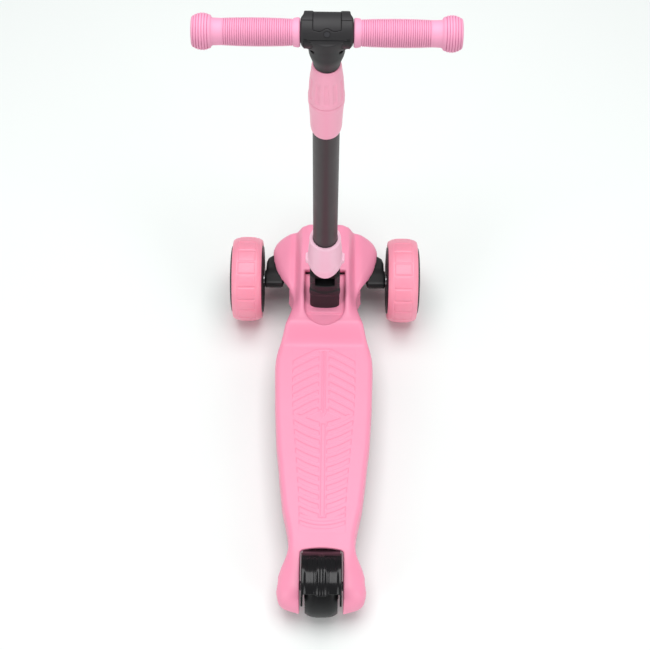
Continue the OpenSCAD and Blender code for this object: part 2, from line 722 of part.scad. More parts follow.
module fold_pin() color(steel) translate([0, fold_y, fold_z]) rotate([0, 90, 0])
    rod(fold_pin_d / 2, -fold_base_w / 2 + 0.5, fold_base_w / 2 - 0.5);

bush_wall = 2;
cross_pin_r = 3;
module at_cross_pin() translate([0, 0, spigot_top_t - 14]) rotate([0, 90, 0]) children();
module stem_foot() color(black) at_stem() difference() {
    union() {
        rotate([0, 90, 0]) rod(foot_r, -foot_w / 2, foot_w / 2);
        block(-foot_w / 2, foot_w / 2, -foot_r, foot_r, 0, foot_disc_t);
        rod(stem_bore_r + tube_wall + 1.5, foot_disc_t, tube_bottom_t);
        rod(stem_bore_r, tube_bottom_t, spigot_top_t);
    }
    rotate([0, 90, 0]) rod(fold_pin_d / 2 + running_gap + bush_wall, -40, 40);
    at_cross_pin() rod(cross_pin_r, -through, through);
}

module foot_bushes() color(clear) at_stem() rotate([0, 90, 0]) for (z = [-foot_w / 2, 0.5])
    tube(fold_pin_d / 2 + running_gap + bush_wall, fold_pin_d / 2 + running_gap, z, z + foot_w / 2 - 0.5);

module foot_cross_pin() color(steel) at_stem() at_cross_pin() rod(cross_pin_r, -stem_r + 0.2, stem_r - 0.2);

module lower_tube() color(charcoal) at_stem() difference() {
    tube(stem_r, stem_bore_r, tube_bottom_t, tube_top_t);
    at_cross_pin() rod(cross_pin_r, -through, through);
}

spring_seat_t = tube_bottom_t + 3;
spring_top_t = collar_top_t - 9;
module lock_spring() color(steel) at_stem() translate([0, 0, spring_seat_t])
    coil(stem_r + 1.7, 0.7, 5, spring_top_t - spring_seat_t - 0.3);

collar_wall = 3;
module lock_collar() color(collar_pink) at_stem() difference() {
    union() {
        rotate_extrude() polygon([[stem_r + play, collar_top_t - 9],
            [collar_r - collar_wall, collar_top_t - 9],
            [collar_r - collar_wall, collar_tongue_t - 8], [collar_r, collar_tongue_t - 8],
                [collar_r, collar_waist_t],
            [collar_top_r, collar_top_t - 2.5], [collar_top_r - 2.6, collar_top_t],
                [stem_r + play, collar_top_t]]);
        // Ears over the ends of the fold bracket
        intersection() {
            block(-collar_ear_w / 2, collar_ear_w / 2, -7, 7, saddle_r - 3, saddle_r + 8);
            rotate([90, 0, 0]) rod(99, -8, 8);
        }
    }
    rotate([0, 90, 0]) rod(saddle_r, -60, 60);
    rod(collar_r - collar_wall, -20, collar_top_t - 9 - eps);
}

// ---------------------------------------------------------------- height clamp

module clamp_body() color(pink) at_stem() rotate_extrude() polygon([
    [stem_r, clamp_bottom_t], [clamp_low_r, clamp_bottom_t], [clamp_mid_r - 0.6, clamp_bottom_t + 6],
    [clamp_mid_r, clamp_bottom_t + 12], [clamp_lip_r - 0.7, seam_t - 12], [clamp_lip_r, seam_t - 8],
    [clamp_lip_r, seam_t - 0.6], [neck_r, seam_t - 0.6], [neck_r, tube_top_t], [stem_r, tube_top_t]]);

collet_top_t = ring_top_t - 12;
module clamp_collet() color(charcoal) at_stem() difference() {
    tube(collet_r, inner_r + running_gap, tube_top_t, collet_top_t);
    for (a = [0, 90]) rotate([0, 0, a]) block(-30, 30, -0.8, 0.8, tube_top_t + 6, collet_top_t + 1);
}

ring_fillet_t = seam_t + 26;
module clamp_ring() color(pink) at_stem() rotate_extrude() polygon([
    [neck_r + 0.1, seam_t], [clamp_lip_r + 0.1, seam_t], [clamp_lip_r + 0.1, seam_t + 4],
    [clamp_lip_r - 1.3, ring_fillet_t], [clamp_lip_r - 3.2, ring_fillet_t + 20], [stem_r - 0.2, ring_top_t],
    [inner_r + play, ring_top_t], [inner_r + play, collet_top_t + 1], [collet_r + 0.25, collet_top_t + 1],
    [collet_r + 0.25, tube_top_t + 1], [neck_r + 0.1, tube_top_t + 1]]);

// ---------------------------------------------------------------- T-bar

module inner_tube() color(charcoal) difference() {
    at_stem() tube(inner_r, inner_bore_r, inner_bottom_t, bar_t - bar_r - 5);
    at_head_screws() rod(head_screw_r + 2 * snug, 0, $screw_l + 1);
}

module guide_bush() color(clear) at_stem() {
    tube(stem_bore_r - running_gap, inner_bore_r, inner_bottom_t - 3, inner_bottom_t);
    tube(inner_bore_r, inner_bore_r - 2, inner_bottom_t - 3, inner_bottom_t + 25);
}

// Outer form of the head: a barrel round the crossbar that flows down into a tapering neck
module head_blank() at_stem() {
    translate([0, 0, bar_t]) rotate([0, 90, 0]) {
        rod(head_r, -head_half + 3, head_half - 3);
        rod(head_r - 2, -head_half, head_half);
    }
    rotate_extrude() polygon([[0, head_bottom_t], [stem_r - 0.7, head_bottom_t],
        [stem_r + 4, head_bottom_t + 21],
        [stem_r + 4.6, bar_t - 12], [stem_r + 2, bar_t], [0, bar_t]]);
}

head_screw_r = 1.5;
head_screw_head = 1.4;
panel_screw_seat_r = core_r + 0.4;
panel_screw_angle = 45;
side_screw_x = inner_r + 2.1;
side_screw_drop = 15;
side_screw_seat = sqrt(pow(core_r, 2) - pow(side_screw_drop, 2)) + 1;
// Each head screw's place across, its height, the depth of its seat, its downward tilt and its length:
// a short one under the top panel and two long ones through both shells
head_screw_places = [
    [0, bar_t + panel_screw_seat_r * sin(panel_screw_angle), panel_screw_seat_r * cos(panel_screw_angle),
        panel_screw_angle, 5],
    [-side_screw_x, bar_t - side_screw_drop, side_screw_seat, 0, 2 * side_screw_seat + 3],
    [side_screw_x, bar_t - side_screw_drop, side_screw_seat, 0, 2 * side_screw_seat + 3]];
module at_head_screws() at_stem() for (p = head_screw_places) {
    $screw_l = p[4];
    translate([p[0], -p[2], p[1]]) rotate([-90 - p[3], 0, 0]) children();
}

module head_cavity() at_stem() {
    translate([0, 0, bar_t]) rotate([0, 90, 0]) {
        rod(core_r + snug, -core_half - snug, core_half + snug);
        rod(bar_r + snug, -100, 100);
    }
    rod(inner_r + snug, 0, bar_t);
}

// Panel let into the top of the head, from just above the middle screw to the front
module cap_window(grow) at_stem()
    block(-cap_half - grow, cap_half + grow, -head_r / 2 - grow, head_r * 0.7 + grow,
    bar_t + 5, bar_t + 40);

module head_rear_shell() color(charcoal) difference() {
    head_blank();
    head_cavity();
    at_stem() block(-60, 60, 0, 60, 0, bar_t + 60);
    cap_window(0.15);
    at_head_screws() {
        rod(head_screw_r + snug, -through, through);
        rod(head_screw_r * 2 + snug, -through, 0);
    }
}

module head_front_shell() color(charcoal) difference() {
    head_blank();
    head_cavity();
    at_stem() block(-60, 60, -60, 0, 0, bar_t + 60);
    cap_window(0.15);
    at_head_screws() rod(head_screw_r, 0, $screw_l + 1);
}

module head_cap() color(charcoal) intersection() {
    difference() {
        head_blank();
        head_cavity();
    }
    cap_window(0);
}

module head_screws() color(steel) at_head_screws() {
    rod(head_screw_r, 0, $screw_l);
    rod(head_screw_r * 2, -head_screw_head, 0);
}

module tee_core() color(black) difference() {
    union() {
        at_bar() rod(core_r, -core_half, core_half);
        at_stem() rod(inner_bore_r, bar_t - 62, bar_t);
    }
    at_bar() rod(bar_r, -through, through);
    at_stem() difference() {
        rod(inner_r + 0.2, 0, bar_t - bar_r - 5);
        rod(inner_bore_r, 0, bar_t);
    }
    at_head_screws() {
        rod(head_screw_r + 2 * snug, 0, $screw_l + 1);
        rod(head_screw_r * 2 + snug, -10, 0);
    }
}

module crossbar() color(charcoal) at_bar() tube(bar_r, bar_r - 1.6, -bar_width / 2 + 6, bar_width / 2 - 6);

flange_l = 10;
bulb_l = 21;
grip_neck_r = grip_d / 2 - 1;
module grip(side) color(pink) at_bar() mirror([0, 0, side < 0 ? 1 : 0]) {
    start = bar_width / 2 - grip_length;
    end = bar_width / 2;
    rotate_extrude() polygon([[bar_r, start], [grip_d / 2 + 0.3, start],
        [grip_d / 2 + 0.3, start + flange_l - 3],
        [grip_neck_r, start + flange_l], [grip_d / 2, end - bulb_l - 10],
            [grip_d / 2 - 0.5, end - bulb_l - 1],
        [grip_bulb_d / 2 - 1.5, end - bulb_l + 1], [grip_bulb_d / 2, end - bulb_l + 5],
        [grip_bulb_d / 2, end - 6], [grip_bulb_d / 2 - 3.2, end], [0, end], [0, end - 6],
            [bar_r, end - 6]]);
}

deck();
underside_cover();
cover_screws();
steering_bracket();
bracket_screws();
kingpins();
kingpin_nuts();
return_springs();
fold_base();
fold_base_screws();
fold_pin();
rear_axle();
rear_axle_nut();
brake_pin();
brake_spring();
tie_rod();
knuckle(-1);  // left_knuckle
front_axle(-1);  // left_axle
front_axle_nut(-1);  // left_axle_nut
knuckle(1);  // right_knuckle
front_axle(1);  // right_axle
front_axle_nut(1);  // right_axle_nut
front_tyre(-1);  // left_tyre
front_hub(-1);  // left_hub
front_hub_cap(-1);  // left_hub_cap
front_bearings(-1);  // left_bearings
front_spacer(-1);  // left_spacer
light_ring(-1);  // left_light_ring
front_tyre(1);  // right_tyre
front_hub(1);  // right_hub
front_hub_cap(1);  // right_hub_cap
front_bearings(1);  // right_bearings
front_spacer(1);  // right_spacer
light_ring(1);  // right_light_ring
rear_tyre();
rear_core();
rear_bearings();
rear_spacer();
brake_fender();
stem_foot();
foot_bushes();
foot_cross_pin();
lower_tube();
lock_spring();
lock_collar();
clamp_body();
clamp_collet();
clamp_ring();
inner_tube();
guide_bush();
tee_core();
head_rear_shell();
head_front_shell();
head_cap();
head_screws();
crossbar();
grip(-1);  // left_grip
grip(1);  // right_grip
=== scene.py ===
import math

import bmesh
import bpy
import numpy as np
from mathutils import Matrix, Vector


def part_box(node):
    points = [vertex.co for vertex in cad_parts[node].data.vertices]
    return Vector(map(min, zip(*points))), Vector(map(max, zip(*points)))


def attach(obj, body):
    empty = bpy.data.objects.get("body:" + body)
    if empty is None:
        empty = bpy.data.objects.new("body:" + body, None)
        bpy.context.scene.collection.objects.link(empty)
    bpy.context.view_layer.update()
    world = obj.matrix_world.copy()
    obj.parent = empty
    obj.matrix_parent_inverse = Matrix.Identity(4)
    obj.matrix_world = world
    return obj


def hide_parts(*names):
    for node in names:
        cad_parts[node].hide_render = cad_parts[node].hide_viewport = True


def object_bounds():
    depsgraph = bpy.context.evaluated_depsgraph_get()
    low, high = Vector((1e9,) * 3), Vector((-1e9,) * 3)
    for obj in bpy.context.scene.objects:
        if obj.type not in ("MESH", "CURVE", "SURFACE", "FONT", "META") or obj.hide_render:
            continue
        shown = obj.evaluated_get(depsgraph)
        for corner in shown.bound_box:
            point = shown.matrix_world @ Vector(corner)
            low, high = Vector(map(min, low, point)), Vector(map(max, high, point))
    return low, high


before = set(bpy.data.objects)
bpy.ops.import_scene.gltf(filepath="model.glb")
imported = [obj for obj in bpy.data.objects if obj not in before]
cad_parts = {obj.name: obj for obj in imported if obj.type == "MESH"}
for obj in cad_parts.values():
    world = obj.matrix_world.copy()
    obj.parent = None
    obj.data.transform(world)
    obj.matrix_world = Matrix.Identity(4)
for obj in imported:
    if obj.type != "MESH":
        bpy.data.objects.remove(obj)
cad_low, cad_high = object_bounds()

import openvdb
from mathutils import Matrix, Vector

# ---------------------------------------------------------------- camera
# A long lens looks down on the scooter from behind the rear wheel.
# It is turned half a degree, as a hand-levelled camera is.
LENS = 81.5
LOOK_AT = Vector((0.0008, 0.1308, 0.060))
LOOK_UP_FROM_FLOOR = math.radians(58.54)
LOOK_ROUND = math.radians(0.118)
LOOK_ROLL = math.radians(0.537)
LOOK_DISTANCE = 2.072

back = Vector((math.sin(LOOK_ROUND) * math.cos(LOOK_UP_FROM_FLOOR),
               -math.cos(LOOK_ROUND) * math.cos(LOOK_UP_FROM_FLOOR), math.sin(LOOK_UP_FROM_FLOOR)))
right = (-back).cross(Vector((0, 0, 1))).normalized()
up = right.cross(-back)
rolled_right = right * math.cos(LOOK_ROLL) + up * math.sin(LOOK_ROLL)
rolled_up = -right * math.sin(LOOK_ROLL) + up * math.cos(LOOK_ROLL)
camera = bpy.data.objects.new("camera", bpy.data.cameras.new("camera"))
camera.data.lens = LENS
camera.data.sensor_width = 36
camera.data.clip_start = 0.05
camera.matrix_world = Matrix((rolled_right, rolled_up, back)).transposed().to_4x4()
camera.location = LOOK_AT + back * LOOK_DISTANCE
bpy.context.scene.collection.objects.link(camera)
bpy.context.scene.camera = camera

# ---------------------------------------------------------------- studio
# A pale sheet of paper on the floor with a big soft light overhead and two weak ones at the sides.
# The paper is near white, so the scooter keeps only a soft shadow round its wheels and deck.
paper = bpy.data.materials.new("studio_paper")
paper.use_nodes = True
paper_shader = paper.node_tree.nodes["Principled BSDF"]
paper_shader.inputs["Base Color"].default_value = (0.91, 0.95, 0.935, 1)
paper_shader.inputs["Roughness"].default_value = 0.9
paper_shader.inputs["Specular IOR Level"].default_value = 0.1
floor_mesh = bpy.data.meshes.new("studio_floor")
floor_mesh.from_pydata([(-6, -6, 0), (6, -6, 0), (6, 6, 0), (-6, 6, 0)], [], [(0, 1, 2, 3)])
floor_mesh.materials.append(paper)
studio_floor = bpy.data.objects.new("studio_floor", floor_mesh)
bpy.context.scene.collection.objects.link(studio_floor)


def soft_light(name, place, aim, size, power):
    lamp = bpy.data.lights.new(name, "AREA")
    lamp.shape = "RECTANGLE"
    lamp.size, lamp.size_y = size
    lamp.energy = power
    light = bpy.data.objects.new(name, lamp)
    light.location = place
    light.rotation_euler = (Vector(aim) - Vector(place)).to_track_quat("-Z", "Y").to_euler()
    bpy.context.scene.collection.objects.link(light)


soft_light("overhead_softbox", (0, 0.25, 2.4), (0, 0.05, 0), (2.0, 2.0), 48)
soft_light("left_fill", (-2.0, -1.8, 1.3), (0, 0.1, 0.3), (1.4, 1.4), 17)
soft_light("right_fill", (2.0, -1.8, 1.3), (0, 0.1, 0.3), (1.4, 1.4), 17)
sky = bpy.data.worlds.new("studio_air")
sky.use_nodes = True
sky.node_tree.nodes["Background"].inputs["Color"].default_value = (1, 1, 1, 1)
sky.node_tree.nodes["Background"].inputs["Strength"].default_value = 0.31
bpy.context.scene.world = sky
bpy.context.scene.view_settings.view_transform = "Standard"

# ---------------------------------------------------------------- deck
# The platform, wings, hood and rear pods are one injection moulding in satin pink polypropylene.
# It is a 5 mm skin over a grid of ribs, with a raised leaf tread, and everything else bolts to it.
MM = 0.001
NOSE_Y = cad_high.y / MM
rear_tyre_low, rear_tyre_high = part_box("rear_tyre")
REAR_AXLE_Y = (rear_tyre_low.y + rear_tyre_high.y) / 2 / MM
front_tyre_low, front_tyre_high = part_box("right_tyre")
FRONT_AXLE_Y = (front_tyre_low.y + front_tyre_high.y) / 2 / MM
fold_low, fold_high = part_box("fold_pin")
FOLD_Y = (fold_low.y + fold_high.y) / 2 / MM
FOLD_Z = (fold_low.z + fold_high.z) / 2 / MM
PLATFORM_Z = 68
UNDERSIDE_Z = 36
# Half widths at places measured ahead of the rear axle, then ahead of the front axle
REAR_WIDTHS = ((-42, 48), (-35, 51), (-25, 54.8), (-15, 57.4), (-5, 58.4), (3, 58), (22, 52.6),
               (34, 46.6), (42, 43.8), (55, 43.9), (70, 46), (85, 49.1), (100, 52.5), (130, 56),
               (145, 58), (160, 59), (190, 62.8), (220, 64.6))
FRONT_WIDTHS = ((-207, 66.4), (-177, 67.2), (-162, 67.8), (-147, 68.2), (-132, 67.2), (-117, 64.3),
                (-102, 59.4), (-87, 55), (-72, 50), (-57, 46.6), (-42, 45), (-27, 51.5), (-12, 63),
                (3, 71), (18, 75.2),
                (33, 77.4), (45, 77.8), (68, 77), (90, 75))
TREAD_LOW_Y = -188
TREAD_HIGH_Y = 87
TREAD_LIFT = 0.1
TREAD_RISE = 0.85
TREAD_EDGE_DIP = 0.6
SCOOP_HALF = 27
SCOOP_Z = 82
SLOT_HALF = 28
ARM_ROOM_BACK = 27
ARM_ROOM_AHEAD = 59
DECK_SKIN = 5
DECK_WALL = 4
DECK_RIB_PITCH = 34
DECK_RIB_HALF = 1.4
AXLE_BORE_Z = 40
AXLE_BORE_R = 4.1
AXLE_HEAD_R = 9
AXLE_HEAD_X = 49.5


def grid_axis(low, high, step):
    return np.arange(low, high + step, step, dtype=np.float32)


def ease(value, start, end):
    """Smooth step from 0 at start to 1 at end."""
    u = np.clip((value - start) / (end - start), 0, 1)
    return u * u * (3 - 2 * u)


def blend_max(a, b, radius):
    """Keeps what is inside both fields, with a rounded edge between them."""
    h = np.clip(0.5 - 0.5 * (b - a) / radius, 0, 1)
    return b + (a - b) * h + radius * h * (1 - h)


def blend_min(a, b, radius):
    """Joins two fields with a fillet between them."""
    return -blend_max(-a, -b, radius)


def add_piece(name, verts, faces, smooth=True):
    mesh = bpy.data.meshes.new(name)
    mesh.from_pydata([tuple(v) for v in verts], [], [tuple(f) for f in faces])
    mesh.validate()
    if smooth:
        mesh.shade_smooth()
    piece = bpy.data.objects.new(name, mesh)
    bpy.context.scene.collection.objects.link(piece)
    return piece


def moulded(name, field, low, step):
    """Skin of a field sampled on a grid in millimetres: negative inside, positive outside."""
    band = 3 * step
    grid = openvdb.FloatGrid(band)
    grid.copyFromArray(np.clip(field, -band, band).astype(np.float32))
    verts, _, quads = grid.convertToPolygons(isovalue=0.0, adaptivity=0.0)
    verts = (verts * step + np.array(low)) * MM
    return add_piece(name, verts.tolist(), quads[:, ::-1].tolist())


def half_width(y):
    """Half the deck's width along it: pods, rear waist, platform, front waist, wings."""
    at = [REAR_AXLE_Y + ahead for ahead, _ in REAR_WIDTHS]
    at += [FRONT_AXLE_Y + ahead for ahead, _ in FRONT_WIDTHS]
    widths = [width for _, width in REAR_WIDTHS + FRONT_WIDTHS]
    blur = np.exp(-np.linspace(-2, 2, 21) ** 2)
    w = np.pad(np.interp(y, at, widths), 10, mode="edge")
    return np.convolve(w, blur / blur.sum(), "valid")


def outline_field(x, y):
    """Distances outside the deck's sides, nose and tail, seen from above."""
    w = half_width(y[0, :])[None, :]
    slope = np.gradient(w[0], y[0, :])[None, :]
    ax = np.abs(x)
    side = (ax - w) / np.sqrt(1 + slope ** 2)
    lobe = np.clip((ax - 34) / 40, 0, 1)
    nose = (y - NOSE_Y + 0.2) + 2.5 * ease(ax, 22, 36) + 15 * lobe ** 2
    nose = nose / np.sqrt(1 + (30 / 40 * lobe) ** 2)
    tail_y = REAR_AXLE_Y - 37 + (ax - 28) * 0.33
    return side, nose, tail_y - y


def top_height(x, y):
    """Height of the deck's upper surface."""
    ax = np.abs(x)
    z = np.full_like(x, PLATFORM_Z)
    pod = 1 - ease(y, REAR_AXLE_Y - 2, REAR_AXLE_Y + 44)
    z = z - 5.0 * pod - 15 * np.clip((REAR_AXLE_Y - 2 - y) / 34, 0, 1) ** 2
    step_y, ridge_y = FRONT_AXLE_Y - 117, FRONT_AXLE_Y - 86
    z = z + 22 * ease(y, step_y, ridge_y)
    wing = ease(ax, 33, 45) * ease(y, ridge_y - 4, ridge_y + 40)
    z = z - (8.5 + 5.5 * ease(ax, 44, 74)) * wing
    hump = (1 - ease(ax, 32, 42)) * ease(y, ridge_y, ridge_y + 42)
    z = z + 6.5 * hump
    valley = np.exp(-((ax - 43) / 5.5) ** 2) * ease(y, ridge_y + 20, ridge_y + 60)
    z = z - 2.0 * valley
    front = ease(y, NOSE_Y - 62, NOSE_Y + 2)
    return z - front * (10 + 2 * ease(ax, 30, 60)) - 3 * front * np.exp(-((ax - 33) / 6) ** 2)


def tread_half(y):
    """Half the tread's width, which grows towards the stem."""
    return 30 + 13 * ease(y, -186, 40)


def tread_bump(x, y):
    """Raised leaf pattern of the standing surface, 0 to 1."""
    ax = np.abs(x)
    inside = ease(tread_half(y) - ax, 0, 0.9)

    def line(distance, width):
        return 1 - ease(np.abs(distance), width / 2 - 0.2, width / 2 + 0.8)

    bump = np.zeros_like(x)
    arrow_y = -21
    for i in range(8):
        root = 84 - 13.2 * i
        course = root - 0.50 * (ax - 7) - 0.0022 * (ax - 7) ** 2
        vein = line((y - course) * 0.87, 5.6) * ease(ax, 6.6, 7.6)
        vein = vein * ease(y, arrow_y - 7 + 0.32 * (ax - 8), arrow_y - 5 + 0.32 * (ax - 8))
        bump = np.maximum(bump, vein)
    for i in range(11):
        root = arrow_y - 11 - 13.4 * i
        course = root + 0.26 * (ax - 4) + 0.0062 * (ax - 4) ** 2
        vein = line((y - course) * 0.87, 5.6) * ease(ax, 4.6, 5.6)
        vein = vein * (1 - ease(y, arrow_y - 4 + 0.32 * (ax - 8), arrow_y - 2 + 0.32 * (ax - 8)))
        bump = np.maximum(bump, vein)
    for i in range(2):
        course = -170 - 10.5 * i + 0.0075 * ax ** 2
        bump = np.maximum(bump, line((y - course) * 0.95, 4.6))
    spine_front = line(ax, 4.6) * (1 - line(ax, 0.8)) * ease(y, arrow_y + 4, arrow_y + 5)
    spine_front = spine_front * (1 - ease(y, 83, 84))
    spine_back = line(ax, 4.4) * ease(y, -166, -165) * (1 - ease(y, arrow_y - 10, arrow_y - 9))
    arrow_head = line((ax + (arrow_y + 4 - y) * 0.5) * 0.87, 2.2) * ease(y, arrow_y - 4, arrow_y - 3)
    arrow_head = arrow_head * (1 - ease(y, arrow_y + 12, arrow_y + 13))
    cap = line(ax, 13) * line(y - 85.2, 2.6)
    veins = bump * (1 - line(ax, 8) * ease(y, -166, -165))
    bump = np.maximum.reduce([veins, spine_front, spine_back, arrow_head, cap])
    bump = bump * inside * ease(y, TREAD_LOW_Y, TREAD_LOW_Y + 1.5)
    return bump * (1 - ease(y, TREAD_HIGH_Y - 1, TREAD_HIGH_Y))


step = 1.2
xs = grid_axis(-78, 78, step)
ys = grid_axis(-292, 293, step)
zs = grid_axis(16, 102, step)
plan_x, plan_y = np.meshgrid(xs, ys, indexing="ij")
side, nose, tail = outline_field(plan_x, plan_y)
top = top_height(plan_x, plan_y)
grade_x, grade_y = np.gradient(top_height(plan_x, plan_y), step)
lean = np.sqrt(1 + grade_x ** 2 + grade_y ** 2)[:, :, None]
z = zs[None, None, :]
pods = (1 - ease(plan_y, REAR_AXLE_Y + 8, REAR_AXLE_Y + 46))[:, :, None]
wings = (ease(np.abs(plan_x), 40, 60) * ease(plan_y, FRONT_AXLE_Y - 40, FRONT_AXLE_Y))[:, :, None]
round_edge = 9 + 12 * pods + 4 * wings
edge = blend_max(blend_max(side, nose, 20), tail, 7)[:, :, None]
belly = UNDERSIDE_Z - (UNDERSIDE_Z - 21) * pods + 16 * ease(plan_y, NOSE_Y - 40, NOSE_Y)[:, :, None]
bulge = 4.5 * pods * np.clip((z - 42) / 20, -1, 1) ** 2
deck = blend_max(edge + bulge + 0.03 * (z - UNDERSIDE_Z), (z - top[:, :, None]) / lean, round_edge)
deck = blend_max(deck, belly - z, 3 + 10 * pods)

# Scoop round the fold bracket, slot for the rear wheel and the opening that the front arms swing in
scoop_y = FOLD_Y - 22
scoop_plan = np.where(plan_y < scoop_y, np.hypot(plan_x, plan_y - scoop_y), np.abs(plan_x)) - SCOOP_HALF
scoop_plan = np.maximum(scoop_plan, plan_y - (FOLD_Y + 34))[:, :, None]
ledge = SCOOP_Z + 2.2 * ease(plan_y, FOLD_Y - 30, FOLD_Y - 27)[:, :, None]
deck = blend_max(deck, -blend_max(scoop_plan - 0.12 * (z - SCOOP_Z), ledge - z, 4), 2.2)
slot_front = REAR_AXLE_Y + 41 - 3.5 * (plan_x / SLOT_HALF) ** 2
slot_plan = blend_max(np.abs(plan_x) - SLOT_HALF, plan_y - slot_front, 5)[:, :, None]
deck = blend_max(deck, -slot_plan, 1.6)
pocket = np.maximum(np.abs(plan_x) - SLOT_HALF, plan_y - (REAR_AXLE_Y + 56))[:, :, None]
pocket = np.maximum(pocket, z - 63)
deck = np.maximum(deck, -pocket)
tunnel = np.maximum(FRONT_AXLE_Y - ARM_ROOM_BACK - plan_y, plan_y - (FRONT_AXLE_Y + ARM_ROOM_AHEAD))
tunnel = tunnel[:, :, None]
roof = 76 + 15 * (1 - ease(np.abs(plan_x), 32, 36)) * ease(plan_y, FOLD_Y + 32, FOLD_Y + 36)
roof = np.minimum(top_height(plan_x, plan_y) - 6, roof)[:, :, None]
deck = np.maximum(deck, -blend_max(tunnel, z - roof, 3))

# Hollows between the ribs, open below
rib_rows = np.arange(REAR_AXLE_Y + 60, FRONT_AXLE_Y - 30, DECK_RIB_PITCH)
hollow_plan = blend_max(side + DECK_WALL, np.maximum(rib_rows[0] - plan_y, plan_y - rib_rows[-1]), 2)
for k in range(-2, 3):
    hollow_plan = np.maximum(hollow_plan, DECK_RIB_HALF - np.abs(plan_x - k * DECK_RIB_PITCH))
for y_rib in rib_rows:
    hollow_plan = np.maximum(hollow_plan, DECK_RIB_HALF - np.abs(plan_y - y_rib))
ceiling = np.minimum(top_height(plan_x, plan_y) - DECK_SKIN, 72)[:, :, None]
deck = np.maximum(deck, -blend_max(hollow_plan[:, :, None], z - ceiling, 1.5))

# Bores for the rear axle's head and nut in the pods
from_axle = np.sqrt((plan_y - REAR_AXLE_Y)[:, :, None] ** 2 + (z - AXLE_BORE_Z) ** 2)
head_bore = np.maximum(from_axle - AXLE_HEAD_R, (AXLE_HEAD_X - np.abs(plan_x))[:, :, None])
deck = np.maximum(deck, -head_bore)
deck = np.maximum(deck, -(from_axle - AXLE_BORE_R))
deck_piece = moulded("deck_moulding", deck, (xs[0], ys[0], zs[0]), step)
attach(deck_piece, "deck_body")
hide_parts("deck")


def moulded_plastic(name, colour, roughness, grain=0.12, grain_size=1400, mottle=0.04, gloss=0.45):
    """Injection-moulded plastic: a fine spark grain, slight flow mottle and scuffs that change the gloss."""
    material = bpy.data.materials.new(name)
    material.use_nodes = True
    tree = material.node_tree
    shader = tree.nodes["Principled BSDF"]
    place = tree.nodes.new("ShaderNodeTexCoord")

    def noise(scale, detail):
        node = tree.nodes.new("ShaderNodeTexNoise")
        node.inputs["Scale"].default_value = scale
        node.inputs["Detail"].default_value = detail
        tree.links.new(place.outputs["Object"], node.inputs["Vector"])
        return node

    flow = noise(9, 3)
    tint = tree.nodes.new("ShaderNodeMix")
    tint.data_type = "RGBA"
    tint.inputs["A"].default_value = (*[c * (1 - mottle) for c in colour], 1)
    tint.inputs["B"].default_value = (*[min(1, c * (1 + mottle)) for c in colour], 1)
    tree.links.new(flow.outputs["Fac"], tint.inputs["Factor"])
    tree.links.new(tint.outputs["Result"], shader.inputs["Base Color"])
    scuff = noise(60, 6)
    spread = tree.nodes.new("ShaderNodeMapRange")
    spread.inputs["To Min"].default_value = roughness - 0.07
    spread.inputs["To Max"].default_value = roughness + 0.07
    tree.links.new(scuff.outputs["Fac"], spread.inputs["Value"])
    tree.links.new(spread.outputs["Result"], shader.inputs["Roughness"])
    spark = noise(grain_size, 2)
    bump = tree.nodes.new("ShaderNodeBump")
    bump.inputs["Strength"].default_value = grain
    bump.inputs["Distance"].default_value = 0.0002
    tree.links.new(spark.outputs["Fac"], bump.inputs["Height"])
    tree.links.new(bump.outputs["Normal"], shader.inputs["Normal"])
    shader.inputs["Specular IOR Level"].default_value = gloss
    return material


deck_pink = moulded_plastic("deck_pink", (0.98, 0.33, 0.495), 0.42)
deck_piece.data.materials.append(deck_pink)

# The leaf tread is a finer skin that lies on the platform and dips into it all round
step = 0.7
xs = grid_axis(-46, 46, step)
ys = grid_axis(TREAD_LOW_Y - 1, TREAD_HIGH_Y + 1, step)
plan_x, plan_y = np.meshgrid(xs, ys, indexing="ij")
margin = np.minimum(tread_half(plan_y) + 1.4 - np.abs(plan_x),
                    np.minimum(plan_y - ys[0], ys[-1] - plan_y))
skin_z = top_height(plan_x, plan_y) + TREAD_LIFT + TREAD_RISE * tread_bump(plan_x, plan_y)
skin_z = skin_z - TREAD_EDGE_DIP * (1 - ease(margin, 0, 1.2))
count = np.arange(plan_x.size).reshape(plan_x.shape)
corners = np.stack([count[:-1, :-1], count[1:, :-1], count[1:, 1:], count[:-1, 1:]], axis=-1)
kept = corners[(margin[:-1, :-1] > -1) & (margin[1:, 1:] > -1)]
used, kept = np.unique(kept, return_inverse=True)
skin = np.stack([plan_x.ravel(), plan_y.ravel(), skin_z.ravel()], axis=-1)[used] * MM
tread_piece = add_piece("deck_tread", skin.tolist(), kept.reshape(-1, 4).tolist())
tread_piece.data.materials.append(deck_pink)
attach(tread_piece, "deck_body")

# ---------------------------------------------------------------- underside cover and steering
# A black polypropylene cover closes the steering box under the hood and is held by four screws.
# Bracket, kingpins and tie rod are zinc-plated steel, and the return springs are wound spring steel.


